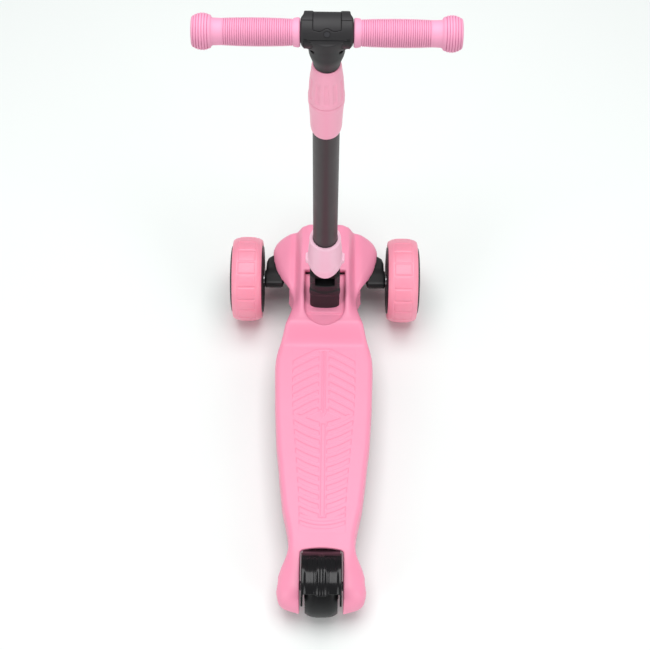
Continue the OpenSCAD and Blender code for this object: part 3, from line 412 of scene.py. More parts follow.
def metal(name, colour, roughness, streaks, spangle):
    """Bare or plated metal: fine drawn streaks along the part, cloudy plating and dulled patches."""
    material = bpy.data.materials.new(name)
    material.use_nodes = True
    tree = material.node_tree
    shader = tree.nodes["Principled BSDF"]
    shader.inputs["Metallic"].default_value = 1.0
    place = tree.nodes.new("ShaderNodeTexCoord")
    cloud = tree.nodes.new("ShaderNodeTexNoise")
    cloud.inputs["Scale"].default_value = spangle
    cloud.inputs["Detail"].default_value = 5
    tree.links.new(place.outputs["Object"], cloud.inputs["Vector"])
    tint = tree.nodes.new("ShaderNodeMix")
    tint.data_type = "RGBA"
    tint.inputs["A"].default_value = (*[c * 0.86 for c in colour], 1)
    tint.inputs["B"].default_value = (*colour, 1)
    tree.links.new(cloud.outputs["Fac"], tint.inputs["Factor"])
    tree.links.new(tint.outputs["Result"], shader.inputs["Base Color"])
    spread = tree.nodes.new("ShaderNodeMapRange")
    spread.inputs["To Min"].default_value = roughness - 0.08
    spread.inputs["To Max"].default_value = roughness + 0.1
    tree.links.new(cloud.outputs["Fac"], spread.inputs["Value"])
    tree.links.new(spread.outputs["Result"], shader.inputs["Roughness"])
    stretch = tree.nodes.new("ShaderNodeMapping")
    stretch.inputs["Scale"].default_value = (1.0, 1.0, 0.06)
    tree.links.new(place.outputs["Object"], stretch.inputs["Vector"])
    drawn = tree.nodes.new("ShaderNodeTexNoise")
    drawn.inputs["Scale"].default_value = 2200
    tree.links.new(stretch.outputs["Vector"], drawn.inputs["Vector"])
    bump = tree.nodes.new("ShaderNodeBump")
    bump.inputs["Strength"].default_value = streaks
    bump.inputs["Distance"].default_value = 0.0001
    tree.links.new(drawn.outputs["Fac"], bump.inputs["Height"])
    tree.links.new(bump.outputs["Normal"], shader.inputs["Normal"])
    return material


def finish_part(material, *nodes):
    """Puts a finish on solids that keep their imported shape."""
    for node in nodes:
        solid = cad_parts[node]
        solid.data.materials.clear()
        solid.data.materials.append(material)


black_plastic = moulded_plastic("black_plastic", (0.012, 0.012, 0.013), 0.42,
                                grain=0.2, mottle=0.12, gloss=0.3)
zinc_steel = metal("zinc_steel", (0.62, 0.63, 0.65), 0.34, streaks=0.15, spangle=160)
spring_steel = metal("spring_steel", (0.42, 0.43, 0.45), 0.3, streaks=0.1, spangle=300)
finish_part(black_plastic, "underside_cover")
finish_part(zinc_steel, "cover_screws", "steering_bracket", "bracket_screws")
finish_part(zinc_steel, "kingpins", "kingpin_nuts", "tie_rod")
finish_part(spring_steel, "return_springs")

# ---------------------------------------------------------------- steering arms
# Each front wheel hangs on a glass-filled nylon arm that swings on a kingpin leaning forward 25 degrees.
# A domed shoulder covers the pivot and a flat-backed bar behind it carries the stub axle.
KINGPIN_LEAN = math.radians(25)
KINGPIN_X = 40
KINGPIN_Y = FRONT_AXLE_Y + 22
KINGPIN_Z = 56
FRONT_AXLE_Z = (front_tyre_low.z + front_tyre_high.z) / 2 / MM
ARM_END_X = 85.5
ARM_TOP_Z = 72


def polygon_field(u, v, points):
    """Signed distance to a closed polygon in its own plane."""
    nearest = np.full(np.broadcast(u, v).shape, 1e9, np.float32)
    inside = np.ones(nearest.shape, np.float32)
    for (u0, v0), (u1, v1) in zip(points, points[1:] + points[:1]):
        along_u, along_v = u1 - u0, v1 - v0
        t = np.clip(((u - u0) * along_u + (v - v0) * along_v) / (along_u ** 2 + along_v ** 2), 0, 1)
        nearest = np.minimum(nearest, (u - u0 - t * along_u) ** 2 + (v - v0 - t * along_v) ** 2)
        if v0 != v1:
            crosses = ((v0 > v) != (v1 > v)) & (u < along_u * (v - v0) / along_v + u0)
            inside = np.where(crosses, -inside, inside)
    return np.sqrt(nearest) * inside


def slab(value, low, high):
    return np.maximum(low - value, value - high)


def steering_arm(side):
    step = 0.8
    xs, ys, zs = grid_axis(26, 88, step), grid_axis(168, 264, step), grid_axis(26, 84, step)
    x, y, z = np.meshgrid(xs, ys, zs, indexing="ij")
    c, s = math.cos(KINGPIN_LEAN), math.sin(KINGPIN_LEAN)
    v = (y - KINGPIN_Y) * c - (z - KINGPIN_Z) * s
    w = (y - KINGPIN_Y) * s + (z - KINGPIN_Z) * c
    root = KINGPIN_X + 15
    plan = polygon_field(x, v, [
        (KINGPIN_X, -8), (root + 2, -26), (root + 6, -39), (ARM_END_X - 1, -39),
        (ARM_END_X - 1, 6), (ARM_END_X - 3, 16), (ARM_END_X - 8, 22), (ARM_END_X - 14, 26),
        (root + 6, 28), (root, 13), (KINGPIN_X, 9)])
    plate = blend_max(plan, np.abs(w) - 8.9, 5)
    boss = np.maximum(np.hypot(x - KINGPIN_X, v) - 11, np.abs(w) - 9)
    hub_boss = blend_max(np.hypot(y - FRONT_AXLE_Y, z - FRONT_AXLE_Z) - 12, slab(x, root + 7, ARM_END_X), 1.5)
    rear_bar = blend_max(slab(v, -39.5, -25), slab(w, -9, 10.6), 5)
    rear_bar = blend_max(rear_bar, slab(x, root + 5, ARM_END_X - 0.5), 2)
    lever = np.maximum(slab(v, -24, -4), slab(w, -2.4, 2.6))
    lever = np.maximum(slab(x, KINGPIN_X - 5, KINGPIN_X + 5), lever)
    lever = np.minimum(lever, np.maximum(np.hypot(x - KINGPIN_X, v + 24) - 6, slab(w, -2.4, 2.6)))
    pin = np.maximum(np.hypot(x - KINGPIN_X, v + 24) - 3, slab(w, 2, 10))
    arm = blend_min(blend_min(plate, rear_bar, 2.5), hub_boss, 3)
    arm = blend_max(arm, z - ARM_TOP_Z, 3)
    arm = np.minimum(np.minimum(arm, boss), np.minimum(lever, pin))
    arm = np.maximum(arm, 4.05 - np.hypot(x - KINGPIN_X, v))
    arm = np.maximum(arm, 4 - np.hypot(y - FRONT_AXLE_Y, z - FRONT_AXLE_Z))
    piece = moulded(f"{side}_steering_arm", arm, (xs[0], ys[0], zs[0]), step)
    if side == "left":
        piece.data.transform(Matrix.Scale(-1, 4, (1, 0, 0)))
        piece.data.flip_normals()
    piece.data.materials.append(black_plastic)
    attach(piece, f"{side}_steering")
    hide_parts(f"{side}_knuckle")


for side in ("left", "right"):
    steering_arm(side)
    finish_part(zinc_steel, f"{side}_axle", f"{side}_axle_nut")

# ---------------------------------------------------------------- front wheels
# A soft translucent polyurethane tyre, cast with shallow square blocks round its middle, on a black hub.
# Two ball bearings run on the stub axle and a domed cap snaps in on the outside.
TREAD_BLOCKS = 20
BLOCK_BAND = 12.5
CAP_R = 48.0
CAP_RIM = 21.2
CAP_RISE = 3.2


def lathe(name, profile, centre, axis, around, relief=None, closed=True):
    """Turns a profile of (radius, along) millimetres; relief moves the skin by angle and place."""
    profile = np.array(profile, dtype=float)
    count = len(profile)
    angle = np.arange(around) * (2 * math.pi / around)
    radius = np.tile(profile[:, 0], (around, 1))
    along = np.tile(profile[:, 1], (around, 1))
    if relief is not None:
        radius, along = relief(angle[:, None], radius, along)
    spin_u = radius * np.cos(angle)[:, None]
    spin_v = radius * np.sin(angle)[:, None]
    axis = Vector(axis).normalized()
    cross_u = axis.orthogonal().normalized()
    cross_v = axis.cross(cross_u)
    verts = (np.array(centre) + along[..., None] * np.array(axis) + spin_u[..., None] * np.array(cross_u)
             + spin_v[..., None] * np.array(cross_v)) * MM
    faces = []
    last = count if closed else count - 1
    for k in range(around):
        here, there = k * count, (k + 1) % around * count
        for j in range(last):
            n = (j + 1) % count
            faces.append((here + j, there + j, there + n, here + n))
    piece = add_piece(name, verts.reshape(-1, 3).tolist(), faces)
    mesh = bmesh.new()
    mesh.from_mesh(piece.data)
    bmesh.ops.remove_doubles(mesh, verts=mesh.verts, dist=1e-6)
    bmesh.ops.dissolve_degenerate(mesh, edges=mesh.edges, dist=1e-7)
    bmesh.ops.recalc_face_normals(mesh, faces=mesh.faces)
    mesh.to_mesh(piece.data)
    mesh.free()
    piece.data.shade_smooth()
    return piece


def soften(points, rounds=2):
    """Cuts a profile's corners so that it turns as a moulded edge."""
    for _ in range(rounds):
        cut = []
        for a, b in zip(points, points[1:] + points[:1]):
            cut += [(a[0] * 0.75 + b[0] * 0.25, a[1] * 0.75 + b[1] * 0.25),
                    (a[0] * 0.25 + b[0] * 0.75, a[1] * 0.25 + b[1] * 0.75)]
        points = cut
    return points


def sharp_corners(points, reach=0.6):
    """Splits each corner in two close points, so that soften rounds it only a little."""
    out = []
    for before, here, after in zip(points[-1:] + points[:-1], points, points[1:] + points[:1]):
        for other in (before, after):
            gap = math.dist(here, other)
            share = min(0.4, reach / gap) if gap else 0
            out.append((here[0] + (other[0] - here[0]) * share, here[1] + (other[1] - here[1]) * share))
    return out


def tread_relief(angle, radius, along):
    """Square blocks with soft grooves between them inside two fine rims."""
    phase = (angle * TREAD_BLOCKS / (2 * math.pi)) % 1.0
    from_groove = np.minimum(phase, 1 - phase) * (2 * math.pi * 60 / TREAD_BLOCKS)
    groove = 1 - ease(from_groove, 0.5, 2.1)
    band = 1 - ease(np.abs(along), BLOCK_BAND - 1.2, BLOCK_BAND)
    rim = np.exp(-((np.abs(along) - BLOCK_BAND) / 0.8) ** 2)
    crown = ease(radius, 54, 56)
    return radius - crown * (0.95 * groove * band + 0.45 * rim), along


def front_tyre_profile():
    outer = []
    for k in range(81):
        a = -21 + 42 * k / 80
        fall = 4.6 * (abs(a) / 21) ** 3.2
        outer.append((60 - fall, a * (1 - 0.03 * (abs(a) / 21) ** 4)))
    return [(48.02, -20.4), (53.5, -20.9)] + outer + [(53.5, 20.9), (48.02, 20.4)]


def cast_tyre(name, colour, deep):
    """Cast polyurethane: waxy, slightly clear, with a mould's satin bloom and dust in its pores."""
    material = bpy.data.materials.new(name)
    material.use_nodes = True
    tree = material.node_tree
    shader = tree.nodes["Principled BSDF"]
    place = tree.nodes.new("ShaderNodeTexCoord")
    cloud = tree.nodes.new("ShaderNodeTexNoise")
    cloud.inputs["Scale"].default_value = 26
    cloud.inputs["Detail"].default_value = 6
    tree.links.new(place.outputs["Object"], cloud.inputs["Vector"])
    tint = tree.nodes.new("ShaderNodeMix")
    tint.data_type = "RGBA"
    tint.inputs["A"].default_value = (*deep, 1)
    tint.inputs["B"].default_value = (*colour, 1)
    tree.links.new(cloud.outputs["Fac"], tint.inputs["Factor"])
    tree.links.new(tint.outputs["Result"], shader.inputs["Base Color"])
    spread = tree.nodes.new("ShaderNodeMapRange")
    spread.inputs["To Min"].default_value = 0.3
    spread.inputs["To Max"].default_value = 0.5
    tree.links.new(cloud.outputs["Fac"], spread.inputs["Value"])
    tree.links.new(spread.outputs["Result"], shader.inputs["Roughness"])
    pores = tree.nodes.new("ShaderNodeTexNoise")
    pores.inputs["Scale"].default_value = 900
    pores.inputs["Detail"].default_value = 3
    tree.links.new(place.outputs["Object"], pores.inputs["Vector"])
    bump = tree.nodes.new("ShaderNodeBump")
    bump.inputs["Strength"].default_value = 0.12
    bump.inputs["Distance"].default_value = 0.0002
    tree.links.new(pores.outputs["Fac"], bump.inputs["Height"])
    tree.links.new(bump.outputs["Normal"], shader.inputs["Normal"])
    shader.inputs["Subsurface Weight"].default_value = 0.12
    shader.inputs["Subsurface Radius"].default_value = (0.006, 0.003, 0.003)
    return material


tyre_pink = cast_tyre("tyre_pink", (1.0, 0.36, 0.48), (0.93, 0.29, 0.41))
bearing_steel = metal("bearing_steel", (0.72, 0.73, 0.75), 0.2, streaks=0.06, spangle=220)
clear_plastic = moulded_plastic("clear_plastic", (0.82, 0.85, 0.9), 0.14, grain=0.05)
natural_nylon = moulded_plastic("natural_nylon", (0.80, 0.78, 0.70), 0.4)


def hub_relief(angle, radius, along):
    """Six shallow pockets in the hub's flat inner wall."""
    petal = ease(np.cos(angle * 6), -0.2, 0.35)
    span = ease(radius, 18, 21) * (1 - ease(radius, 37, 40))
    inner_wall = 1 - ease(along, -21.5, -20.5)
    return radius, along + 1.6 * petal * span * inner_wall


def cap_relief(angle, radius, along):
    """Six soft scallops that fan out over the domed cap, round a raised middle."""
    petal = ease(np.cos(angle * 6 + math.pi), -0.1, 0.4)
    span = ease(radius, 12, 16) * (1 - ease(radius, 35, 40))
    face = ease(along, 22.6, 23.4)
    return radius, along - 0.9 * petal * span * face


for side, sign in (("left", -1), ("right", 1)):
    wheel_low, wheel_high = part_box(f"{side}_tyre")
    wheel_at = tuple((wheel_low + wheel_high) / 2 / MM)
    tyre = lathe(f"{side}_cast_tyre", front_tyre_profile(), wheel_at, (sign, 0, 0), 480, tread_relief)
    tyre.data.materials.append(tyre_pink)
    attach(tyre, f"{side}_wheel")
    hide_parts(f"{side}_tyre")
    wall_steps = [(r, -22.4) for r in range(44, 16, -2)]
    hub = lathe(f"{side}_wheel_hub", soften(sharp_corners([
        (11, -22.4), (15.5, -22.4)] + wall_steps[::-1] + [(46.6, -22.4), (48, -20.9), (48, 20.9), (43, 20.9),
        (43, -17.6), (15, -17.6), (15, 11), (11, 11)]), 1), wheel_at, (sign, 0, 0), 240, hub_relief)
    hub.data.materials.append(black_plastic)
    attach(hub, f"{side}_wheel")
    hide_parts(f"{side}_hub")
    dome = [(CAP_R * max(0.0, math.cos(t)) ** 0.3, CAP_RIM + CAP_RISE * math.sin(t) ** 0.8)
            for t in np.linspace(0, 1.5, 34)]
    cap = lathe(f"{side}_wheel_cap", [(43, 17.1), (43, 20.9), (47.6, 20.95)] + dome + [
        (0.05, 24.4), (0.05, 22), (34, 21.2), (41, 19.9), (41, 17.1)],
        wheel_at, (sign, 0, 0), 240, cap_relief)
    cap.data.materials.append(black_plastic)
    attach(cap, f"{side}_wheel")
    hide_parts(f"{side}_hub_cap")
    finish_part(bearing_steel, f"{side}_bearings", f"{side}_spacer")
    finish_part(clear_plastic, f"{side}_light_ring")

# ---------------------------------------------------------------- rear wheel
# A small smooth wheel in black polyurethane on a black nylon core with two bearings.
# It turns on a bolt through the two pods.
REAR_AXLE_Z = (rear_tyre_low.z + rear_tyre_high.z) / 2 / MM
rear_wheel_at = (0, REAR_AXLE_Y, REAR_AXLE_Z)
rear_tyre_black = cast_tyre("rear_tyre_black", (0.012, 0.012, 0.013), (0.007, 0.007, 0.008))
rear_tyre_black.node_tree.nodes["Principled BSDF"].inputs["Specular IOR Level"].default_value = 0.25
crown = [(40 - 5.5 * (abs(a) / 21) ** 3.4, a) for a in np.linspace(-21, 21, 61)]


def parting_lines(angle, radius, along):
    """Two fine moulding lines that run round the tread."""
    line = np.exp(-((np.abs(along) - 8) / 0.45) ** 2) * ease(radius, 34, 36)
    return radius - 0.25 * line, along


rear_tyre = lathe("rear_cast_tyre", [(27.02, -20.4)] + crown + [(27.02, 20.4)], rear_wheel_at, (1, 0, 0), 240,
                  parting_lines)
rear_tyre.data.materials.append(rear_tyre_black)
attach(rear_tyre, "rear_wheel")
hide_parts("rear_tyre")


def core_relief(angle, radius, along):
    """Five pockets on each face of the core."""
    petal = ease(np.cos(angle * 5), -0.3, 0.2)
    span = ease(radius, 15.4, 17) * (1 - ease(radius, 22, 23.6))
    return radius, along - np.sign(along) * 5 * petal * span * ease(np.abs(along), 12, 15)


face = [(15, -22), (16, -21.8), (18, -21), (20, -20.2), (22, -19.4), (23.5, -19), (25.5, -20.6), (27, -20.8)]
rear_core = lathe("rear_wheel_core", [(11, -22)] + face + [(r, -a) for r, a in face[::-1]] + [(11, 22)],
                  rear_wheel_at, (1, 0, 0), 200, core_relief)
rear_core.data.materials.append(black_plastic)
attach(rear_core, "rear_wheel")
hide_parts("rear_core")
finish_part(bearing_steel, "rear_bearings", "rear_spacer")
dark_screw = metal("dark_screw", (0.10, 0.10, 0.11), 0.4, streaks=0.05, spangle=300)
finish_part(dark_screw, "rear_axle", "rear_axle_nut")

# ---------------------------------------------------------------- brake fender
# A glossy black glass-filled nylon fender that the heel pushes down on the tyre, hinged on a pin.
# Raised pads with long grooves lie each side of its middle channel, with a skirt along each edge.
FENDER_IN = 44
FENDER_OUT = 47
FENDER_HALF = 26
BRAKE_PIN_Y = REAR_AXLE_Y + 46
BRAKE_PIN_Z = 52
step = 0.6
xs, ys, zs = grid_axis(-27.6, 27.6, step), grid_axis(-294, -196, step), grid_axis(44, 90, step)
x, y, z = np.meshgrid(xs, ys, zs, indexing="ij")
ax = np.abs(x)
reach = np.hypot(y - REAR_AXLE_Y, z - REAR_AXLE_Z)
lean = np.degrees(np.arctan2(y - REAR_AXLE_Y, z - REAR_AXLE_Z))
pads = ease(ax, 4, 7) * (1 - ease(ax, 19, 23)) * ease(lean, -40, -34) * (1 - ease(lean, -12, 12))
grooves = np.exp(-((ax - 8.5) / 1.3) ** 2) + 0.7 * np.exp(-((ax - 14.5) / 1.5) ** 2)
skin = FENDER_OUT + pads * 1.3 - 0.55 * grooves * (1 - ease(lean, 16, 30)) - 0.9 * np.exp(-(ax / 2.4) ** 2)
rear_lip = (-38.5 + 4.0 * ease(ax, 3, 11) - 1.5 * ease(ax, 19, 25) - lean) * (math.pi / 180) * 46
front_lip = (lean - 42) * (math.pi / 180) * 46
fender = np.maximum(FENDER_IN - reach, reach - skin)
fender = blend_max(fender, np.maximum(rear_lip, front_lip), 1.2)
fender = blend_max(fender, ax - FENDER_HALF, 1.6)
skirt = np.maximum(slab(reach, 31, 44), slab(ax, 23.4, FENDER_HALF))
skirt = blend_max(skirt, slab(lean, -58, 38) * 0.7, 0.8)
fender = blend_min(fender, skirt, 0.8)
slope_y, slope_z = math.sin(math.radians(36)), math.cos(math.radians(36))
arms = polygon_field(y, z, [
    (BRAKE_PIN_Y - 5, BRAKE_PIN_Z - 3), (BRAKE_PIN_Y + 5.5, BRAKE_PIN_Z - 2),
    (BRAKE_PIN_Y + 5.5, BRAKE_PIN_Z + 2),
    (BRAKE_PIN_Y - 3, BRAKE_PIN_Z + 7), (REAR_AXLE_Y + 38, 66),
    (REAR_AXLE_Y + 46 * slope_y, REAR_AXLE_Z + 46 * slope_z),
    (REAR_AXLE_Y + 44.6 * 0.616, REAR_AXLE_Z + 44.6 * 0.788), (REAR_AXLE_Y + 35, 66)])
apron = np.maximum(slab(arms, -2.4, 0), np.maximum(60.5 - z, ax - 24))
arms = np.minimum(np.maximum(arms, slab(ax, 10, 20)), apron)
lugs = np.maximum(np.hypot(y - BRAKE_PIN_Y, z - BRAKE_PIN_Z) - 6, slab(ax, 10, 20))
fender = blend_min(fender, np.minimum(arms, lugs), 1.0)
fender = np.maximum(fender, 2.55 - np.hypot(y - BRAKE_PIN_Y, z - BRAKE_PIN_Z))
fender = np.maximum(fender, 43.6 - reach - 12 * ease(ax, 22.9, 23.3))
gloss_black = moulded_plastic("gloss_black", (0.006, 0.006, 0.007), 0.17,
                              grain=0.03, mottle=0.15, gloss=0.35)
fender_piece = moulded("heel_brake_fender", fender, (xs[0], ys[0], zs[0]), step)
fender_piece.data.materials.append(gloss_black)
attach(fender_piece, "brake")
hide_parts("brake_fender")
finish_part(dark_screw, "brake_pin", "brake_spring")

# ---------------------------------------------------------------- fold bracket and stem foot
# A black glass-filled nylon block bolted into the scoop, with two ears that carry the fold pin.
# The stem foot turns between the ears on two nylon bushes and plugs into the lower tube.
BRACKET_HALF_W = 20.5
BRACKET_HALF_D = 21
FOOT_SLOT = 13.4
step = 0.7
xs, ys, zs = grid_axis(-22, 22, step), grid_axis(140, 189, step), grid_axis(80, 175, step)
x, y, z = np.meshgrid(xs, ys, zs, indexing="ij")
across, ahead = np.abs(x), y - FOLD_Y
block = blend_max(blend_max(across - BRACKET_HALF_W, np.abs(ahead) - BRACKET_HALF_D, 6),
                  np.hypot(x, ahead - 22) - 44 + 1.1 * ease(z, 118, 124), 3)
block = blend_max(block, slab(z, SCOOP_Z, FOLD_Z), 2.5)
brow = blend_max(np.hypot(ahead + 17.5, z - 121) - 4.2, across - BRACKET_HALF_W + 0.5, 2)
ears = blend_max(np.hypot(ahead, z - FOLD_Z) - 20, across - BRACKET_HALF_W, 1.6)
bracket = np.minimum(blend_min(block, brow, 4), ears)
bracket = np.maximum(bracket, np.hypot(x, ahead - 22) - 44)
turning = np.minimum(np.hypot(ahead, z - FOLD_Z) - 14.1, np.maximum(FOLD_Z - z, -50 - z))
opening = np.maximum(across - FOOT_SLOT, np.minimum(turning, np.maximum(ahead, FOLD_Z - 14.1 - z)))
bracket = np.maximum(bracket, -opening)
bracket = np.maximum(bracket, 4.0 - np.hypot(ahead, z - FOLD_Z))
for screw_x in (-12, 12):
    for screw_y in (-13, 13):
        bracket = np.maximum(bracket, np.minimum(2.5 - np.hypot(x - screw_x, ahead - screw_y), 102 - z))
bracket_piece = moulded("fold_bracket", bracket, (xs[0], ys[0], zs[0]), step)
bracket_piece.data.materials.append(black_plastic)
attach(bracket_piece, "deck_body")
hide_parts("fold_base")
finish_part(zinc_steel, "fold_base_screws", "fold_pin", "foot_cross_pin")
finish_part(spring_steel, "lock_spring")
finish_part(black_plastic, "stem_foot")
finish_part(natural_nylon, "foot_bushes")

# ---------------------------------------------------------------- stem tubes
# Two steel tubes, the inner sliding in the outer, powder-coated in charcoal with a faint orange peel.
# A slit nylon collet and a guide bush keep them from rattling.
stem_charcoal = moulded_plastic("stem_charcoal", (0.048, 0.038, 0.041), 0.4,
                                grain=0.25, grain_size=420, mottle=0.06, gloss=0.25)
finish_part(stem_charcoal, "lower_tube", "inner_tube", "crossbar")
finish_part(black_plastic, "clamp_collet", "tee_core")
finish_part(natural_nylon, "guide_bush")
STEM_LEAN = math.radians(3.5)
STEM_UP = Vector((0, -math.sin(STEM_LEAN), math.cos(STEM_LEAN)))
STEM_BACK = Vector((0, math.cos(STEM_LEAN), math.sin(STEM_LEAN)))


def on_stem(piece):
    """Moves a piece made upright at the origin to its place on the leaning stem."""
    turn = Matrix((Vector((1, 0, 0)), STEM_BACK, STEM_UP)).transposed().to_4x4()
    piece.data.transform(Matrix.Translation((0, FOLD_Y * MM, FOLD_Z * MM)) @ turn)
    return piece


# ---------------------------------------------------------------- locking collar
# A pale pink acetal collar that a spring holds down over the fold bracket's ears to lock the stem up.
# It has a chamfered ring round the tube, a small lug on each side and a rounded tongue behind.
COLLAR_OUT = 22.7
COLLAR_IN = 19.7
COLLAR_TOP = 83
SADDLE = 26
step = 0.6
xs, ys, zs = grid_axis(-28, 28, step), grid_axis(-25, 25, step), grid_axis(2, 86, step)
x, y, z = np.meshgrid(xs, ys, zs, indexing="ij")
out = np.hypot(x, y)
taper = COLLAR_OUT - 1.5 * ease(z, 50, COLLAR_TOP - 4) - 0.35 * ease(z, 33, 34.2)
taper = taper + 1.3 * np.exp(-((z - 28) / 15) ** 2)
shell = blend_max(out - taper, z - COLLAR_TOP, 1.2)
shell = blend_max(shell, (out - 19.2 + (z - COLLAR_TOP + 0.2) * 0.9) * 0.74, 0.6)
crease = np.exp(-((z - 34) / 0.7) ** 2) * (y < 0)
shell = shell + 0.35 * crease
lugs = blend_max(blend_max(np.abs(x) - 26.3, np.abs(y) - 6.5, 2.5), slab(z, 23, 33.5), 1.6)
collar = blend_min(shell, np.maximum(lugs, 16 - out), 1.4)
collar = blend_max(collar, SADDLE - np.hypot(y, z), 1.2)
collar = np.maximum(collar, np.minimum(COLLAR_IN - out, COLLAR_TOP - 9 - z))
collar = np.maximum(collar, 16.4 - out)
roll_pin = np.maximum(np.hypot(y, z - 29.5) - 1.5, 24.5 - np.abs(x))
collar = np.maximum(collar, -roll_pin)
collar = np.maximum(collar, 4.2 - z)
collar_pink = moulded_plastic("collar_pink", (1.0, 0.60, 0.74), 0.36, grain=0.08)
collar_piece = on_stem(moulded("locking_collar", collar, (xs[0], ys[0], zs[0]), step))
collar_piece.data.materials.append(collar_pink)
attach(collar_piece, "collar")
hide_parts("lock_collar")

# ---------------------------------------------------------------- height clamp
# The lower sleeve is moulded on the outer tube and the ring above it twists to grip the inner tube.
# Both are satin pink nylon, and the ring has long shallow flutes for the fingers.
RING_TOP = 449.7
SEAM = 389.5
CLAMP_BOTTOM = 328.5
LIP_R = 20.9
FLUTES = 12


def along_stem(name, points, around, relief=None):
    return on_stem(lathe(name, points, (0, 0, 0), (0, 0, 1), around, relief))


def smooth_run(points, per_span=6):
    """Runs a smooth curve through a profile's points."""
    run = []
    for i in range(len(points) - 1):
        p0, p1 = points[max(i - 1, 0)], points[i]
        p2, p3 = points[i + 1], points[min(i + 2, len(points) - 1)]
        for k in range(per_span):
            t = k / per_span
            run.append(tuple(0.5 * (2 * b + (c - a) * t + (2 * a - 5 * b + 4 * c - d) * t * t
                                    + (3 * b - a - 3 * c + d) * t ** 3)
                             for a, b, c, d in zip(p0, p1, p2, p3)))
    return run + [points[-1]]


clamp_pink = moulded_plastic("clamp_pink", (1.0, 0.41, 0.56), 0.38, grain=0.1)
sleeve_out = smooth_run([(17.0, CLAMP_BOTTOM), (17.9, CLAMP_BOTTOM + 3), (18.6, CLAMP_BOTTOM + 9),
                         (19.1, CLAMP_BOTTOM + 26), (19.7, SEAM - 22), (20.3, SEAM - 11), (LIP_R, SEAM - 7),
                         (LIP_R, SEAM - 2.5), (20.4, SEAM - 0.8)])
sleeve = along_stem("clamp_sleeve", [(16.02, CLAMP_BOTTOM)] + sleeve_out + [
    (17.6, SEAM - 0.6), (17.5, SEAM + 13.6), (16.02, SEAM + 13.8)], 160)
sleeve.data.materials.append(clamp_pink)
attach(sleeve, "stem")
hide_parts("clamp_body")


def flute_relief(angle, radius, along):
    """Long hollows with round lower ends that fade out towards the top."""
    phase = (angle * FLUTES / (2 * math.pi)) % 1.0
    from_middle = np.abs(phase - 0.5) * (2 * math.pi * 20 / FLUTES)
    hollow = 1 - ease(from_middle, 1.2, 3.4)
    run = ease(along, SEAM + 7, SEAM + 11) * (1 - ease(along, SEAM + 34, SEAM + 50))
    outside = ease(radius, 17.9, 18.4)
    return radius - 1.3 * hollow * run * outside, along


ring_out = smooth_run([(20.5, SEAM + 0.1), (LIP_R + 0.1, SEAM + 2), (LIP_R + 0.1, SEAM + 4.5),
                       (20.5, SEAM + 9),
                       (20.2, SEAM + 16), (19.6, SEAM + 26), (18.8, SEAM + 36), (17.7, SEAM + 46),
                       (16.7, SEAM + 56), (15.9, RING_TOP - 1.2), (15.5, RING_TOP)])
ring = along_stem("clamp_twist_ring", [(17.62, SEAM + 0.1)] + ring_out + [
    (14.32, RING_TOP), (14.32, 438.8), (15.27, 438.6), (15.27, 404.5), (17.6, 404.3)], 360, flute_relief)
ring.data.materials.append(clamp_pink)
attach(ring, "ring")
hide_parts("clamp_ring")

# ---------------------------------------------------------------- head
# Two satin charcoal shells clamp the crossbar and the inner tube, screwed together from behind.
# A panel let into the top hides the joint, and the barrel flows down into a tapering neck.
BAR_T = 500.93
HEAD_HALF = 28
HEAD_R = 19.5
CORE_R = 17.1
CORE_HALF = 24.8
BAR_HOLE_R = 11.1
TUBE_HOLE_R = 14.0
SCREW_X = 16
SCREW_DROP = 15
SCREW_HEAD_R = 3.1
SCREW_R = 1.6
DIAGONAL = 0.7071
PANEL_HALF = 15
step = 0.55
xs, ys, zs = grid_axis(-30, 30, step), grid_axis(-23, 23, step), grid_axis(-52, 22, step)
x, y, z = np.meshgrid(xs, ys, zs, indexing="ij")
ax = np.abs(x)
barrel_r = np.hypot(y, z)
shell_r = np.hypot(y - 3, z - 1) - 0.4
round_angle = np.degrees(np.arctan2(z, -y))
dip = 58 - 5 * np.exp(-((ax - 8.5) / 3.5) ** 2) + 6 * np.exp(-(ax / 3.2) ** 2)
panel_zone = (1 - ease(ax, PANEL_HALF - 0.8, PANEL_HALF + 0.8)) * ease(round_angle, dip - 1.5, dip + 1.5)
barrel = shell_r - HEAD_R + 0.9 * panel_zone
low_back = -0.82 * y - 0.57 * z
ends = ax - HEAD_HALF + 3 * ease(-low_back, 13, 20) + 4 * ease(low_back, 11, 19.5)
barrel = blend_max(barrel, ends, 2.2)
neck_r = 15.3 + 4.7 * ease(z, -50, -26) + 0.6 * ease(z, -30, -12)
neck = np.maximum((np.hypot(x, y) - neck_r) * 0.97, slab(z, -50, 2))
neck = blend_max(neck, -50 - z, 1.5)
head = blend_min(barrel, neck, 6)
inside_core = np.maximum(barrel_r - CORE_R, ax - CORE_HALF)
tube_hole = np.maximum(np.hypot(x, y) - TUBE_HOLE_R, z)
hollow = np.minimum(np.minimum(inside_core, barrel_r - BAR_HOLE_R), tube_hole)
head = np.maximum(head, -hollow)
from_middle_screw = np.hypot(x, (y + z) * DIAGONAL)
from_side_screw = np.hypot(ax - SCREW_X, z + SCREW_DROP)
middle_hole = np.maximum(from_middle_screw - SCREW_HEAD_R, 17.4 - (z - y) * DIAGONAL)
side_holes = np.maximum(from_side_screw - SCREW_HEAD_R, y + 9)
head = np.maximum(head, -middle_hole)
head = np.maximum(head, -side_holes)
head = np.maximum(head, -np.maximum(from_side_screw - SCREW_R, y - 12))
head = np.maximum(head, -np.maximum(from_middle_screw - SCREW_R, 10 - (z - y) * DIAGONAL))
panel_cut = np.maximum(ax - PANEL_HALF, (dip - round_angle) * (math.pi / 180) * 18)
panel_cut = np.maximum(panel_cut, (round_angle - 137) * (math.pi / 180) * 18)
panel_cut = np.maximum(panel_cut, 5 - z)
panel = np.maximum(head, panel_cut + 0.12)
shells = np.maximum(head, -(panel_cut - 0.12))
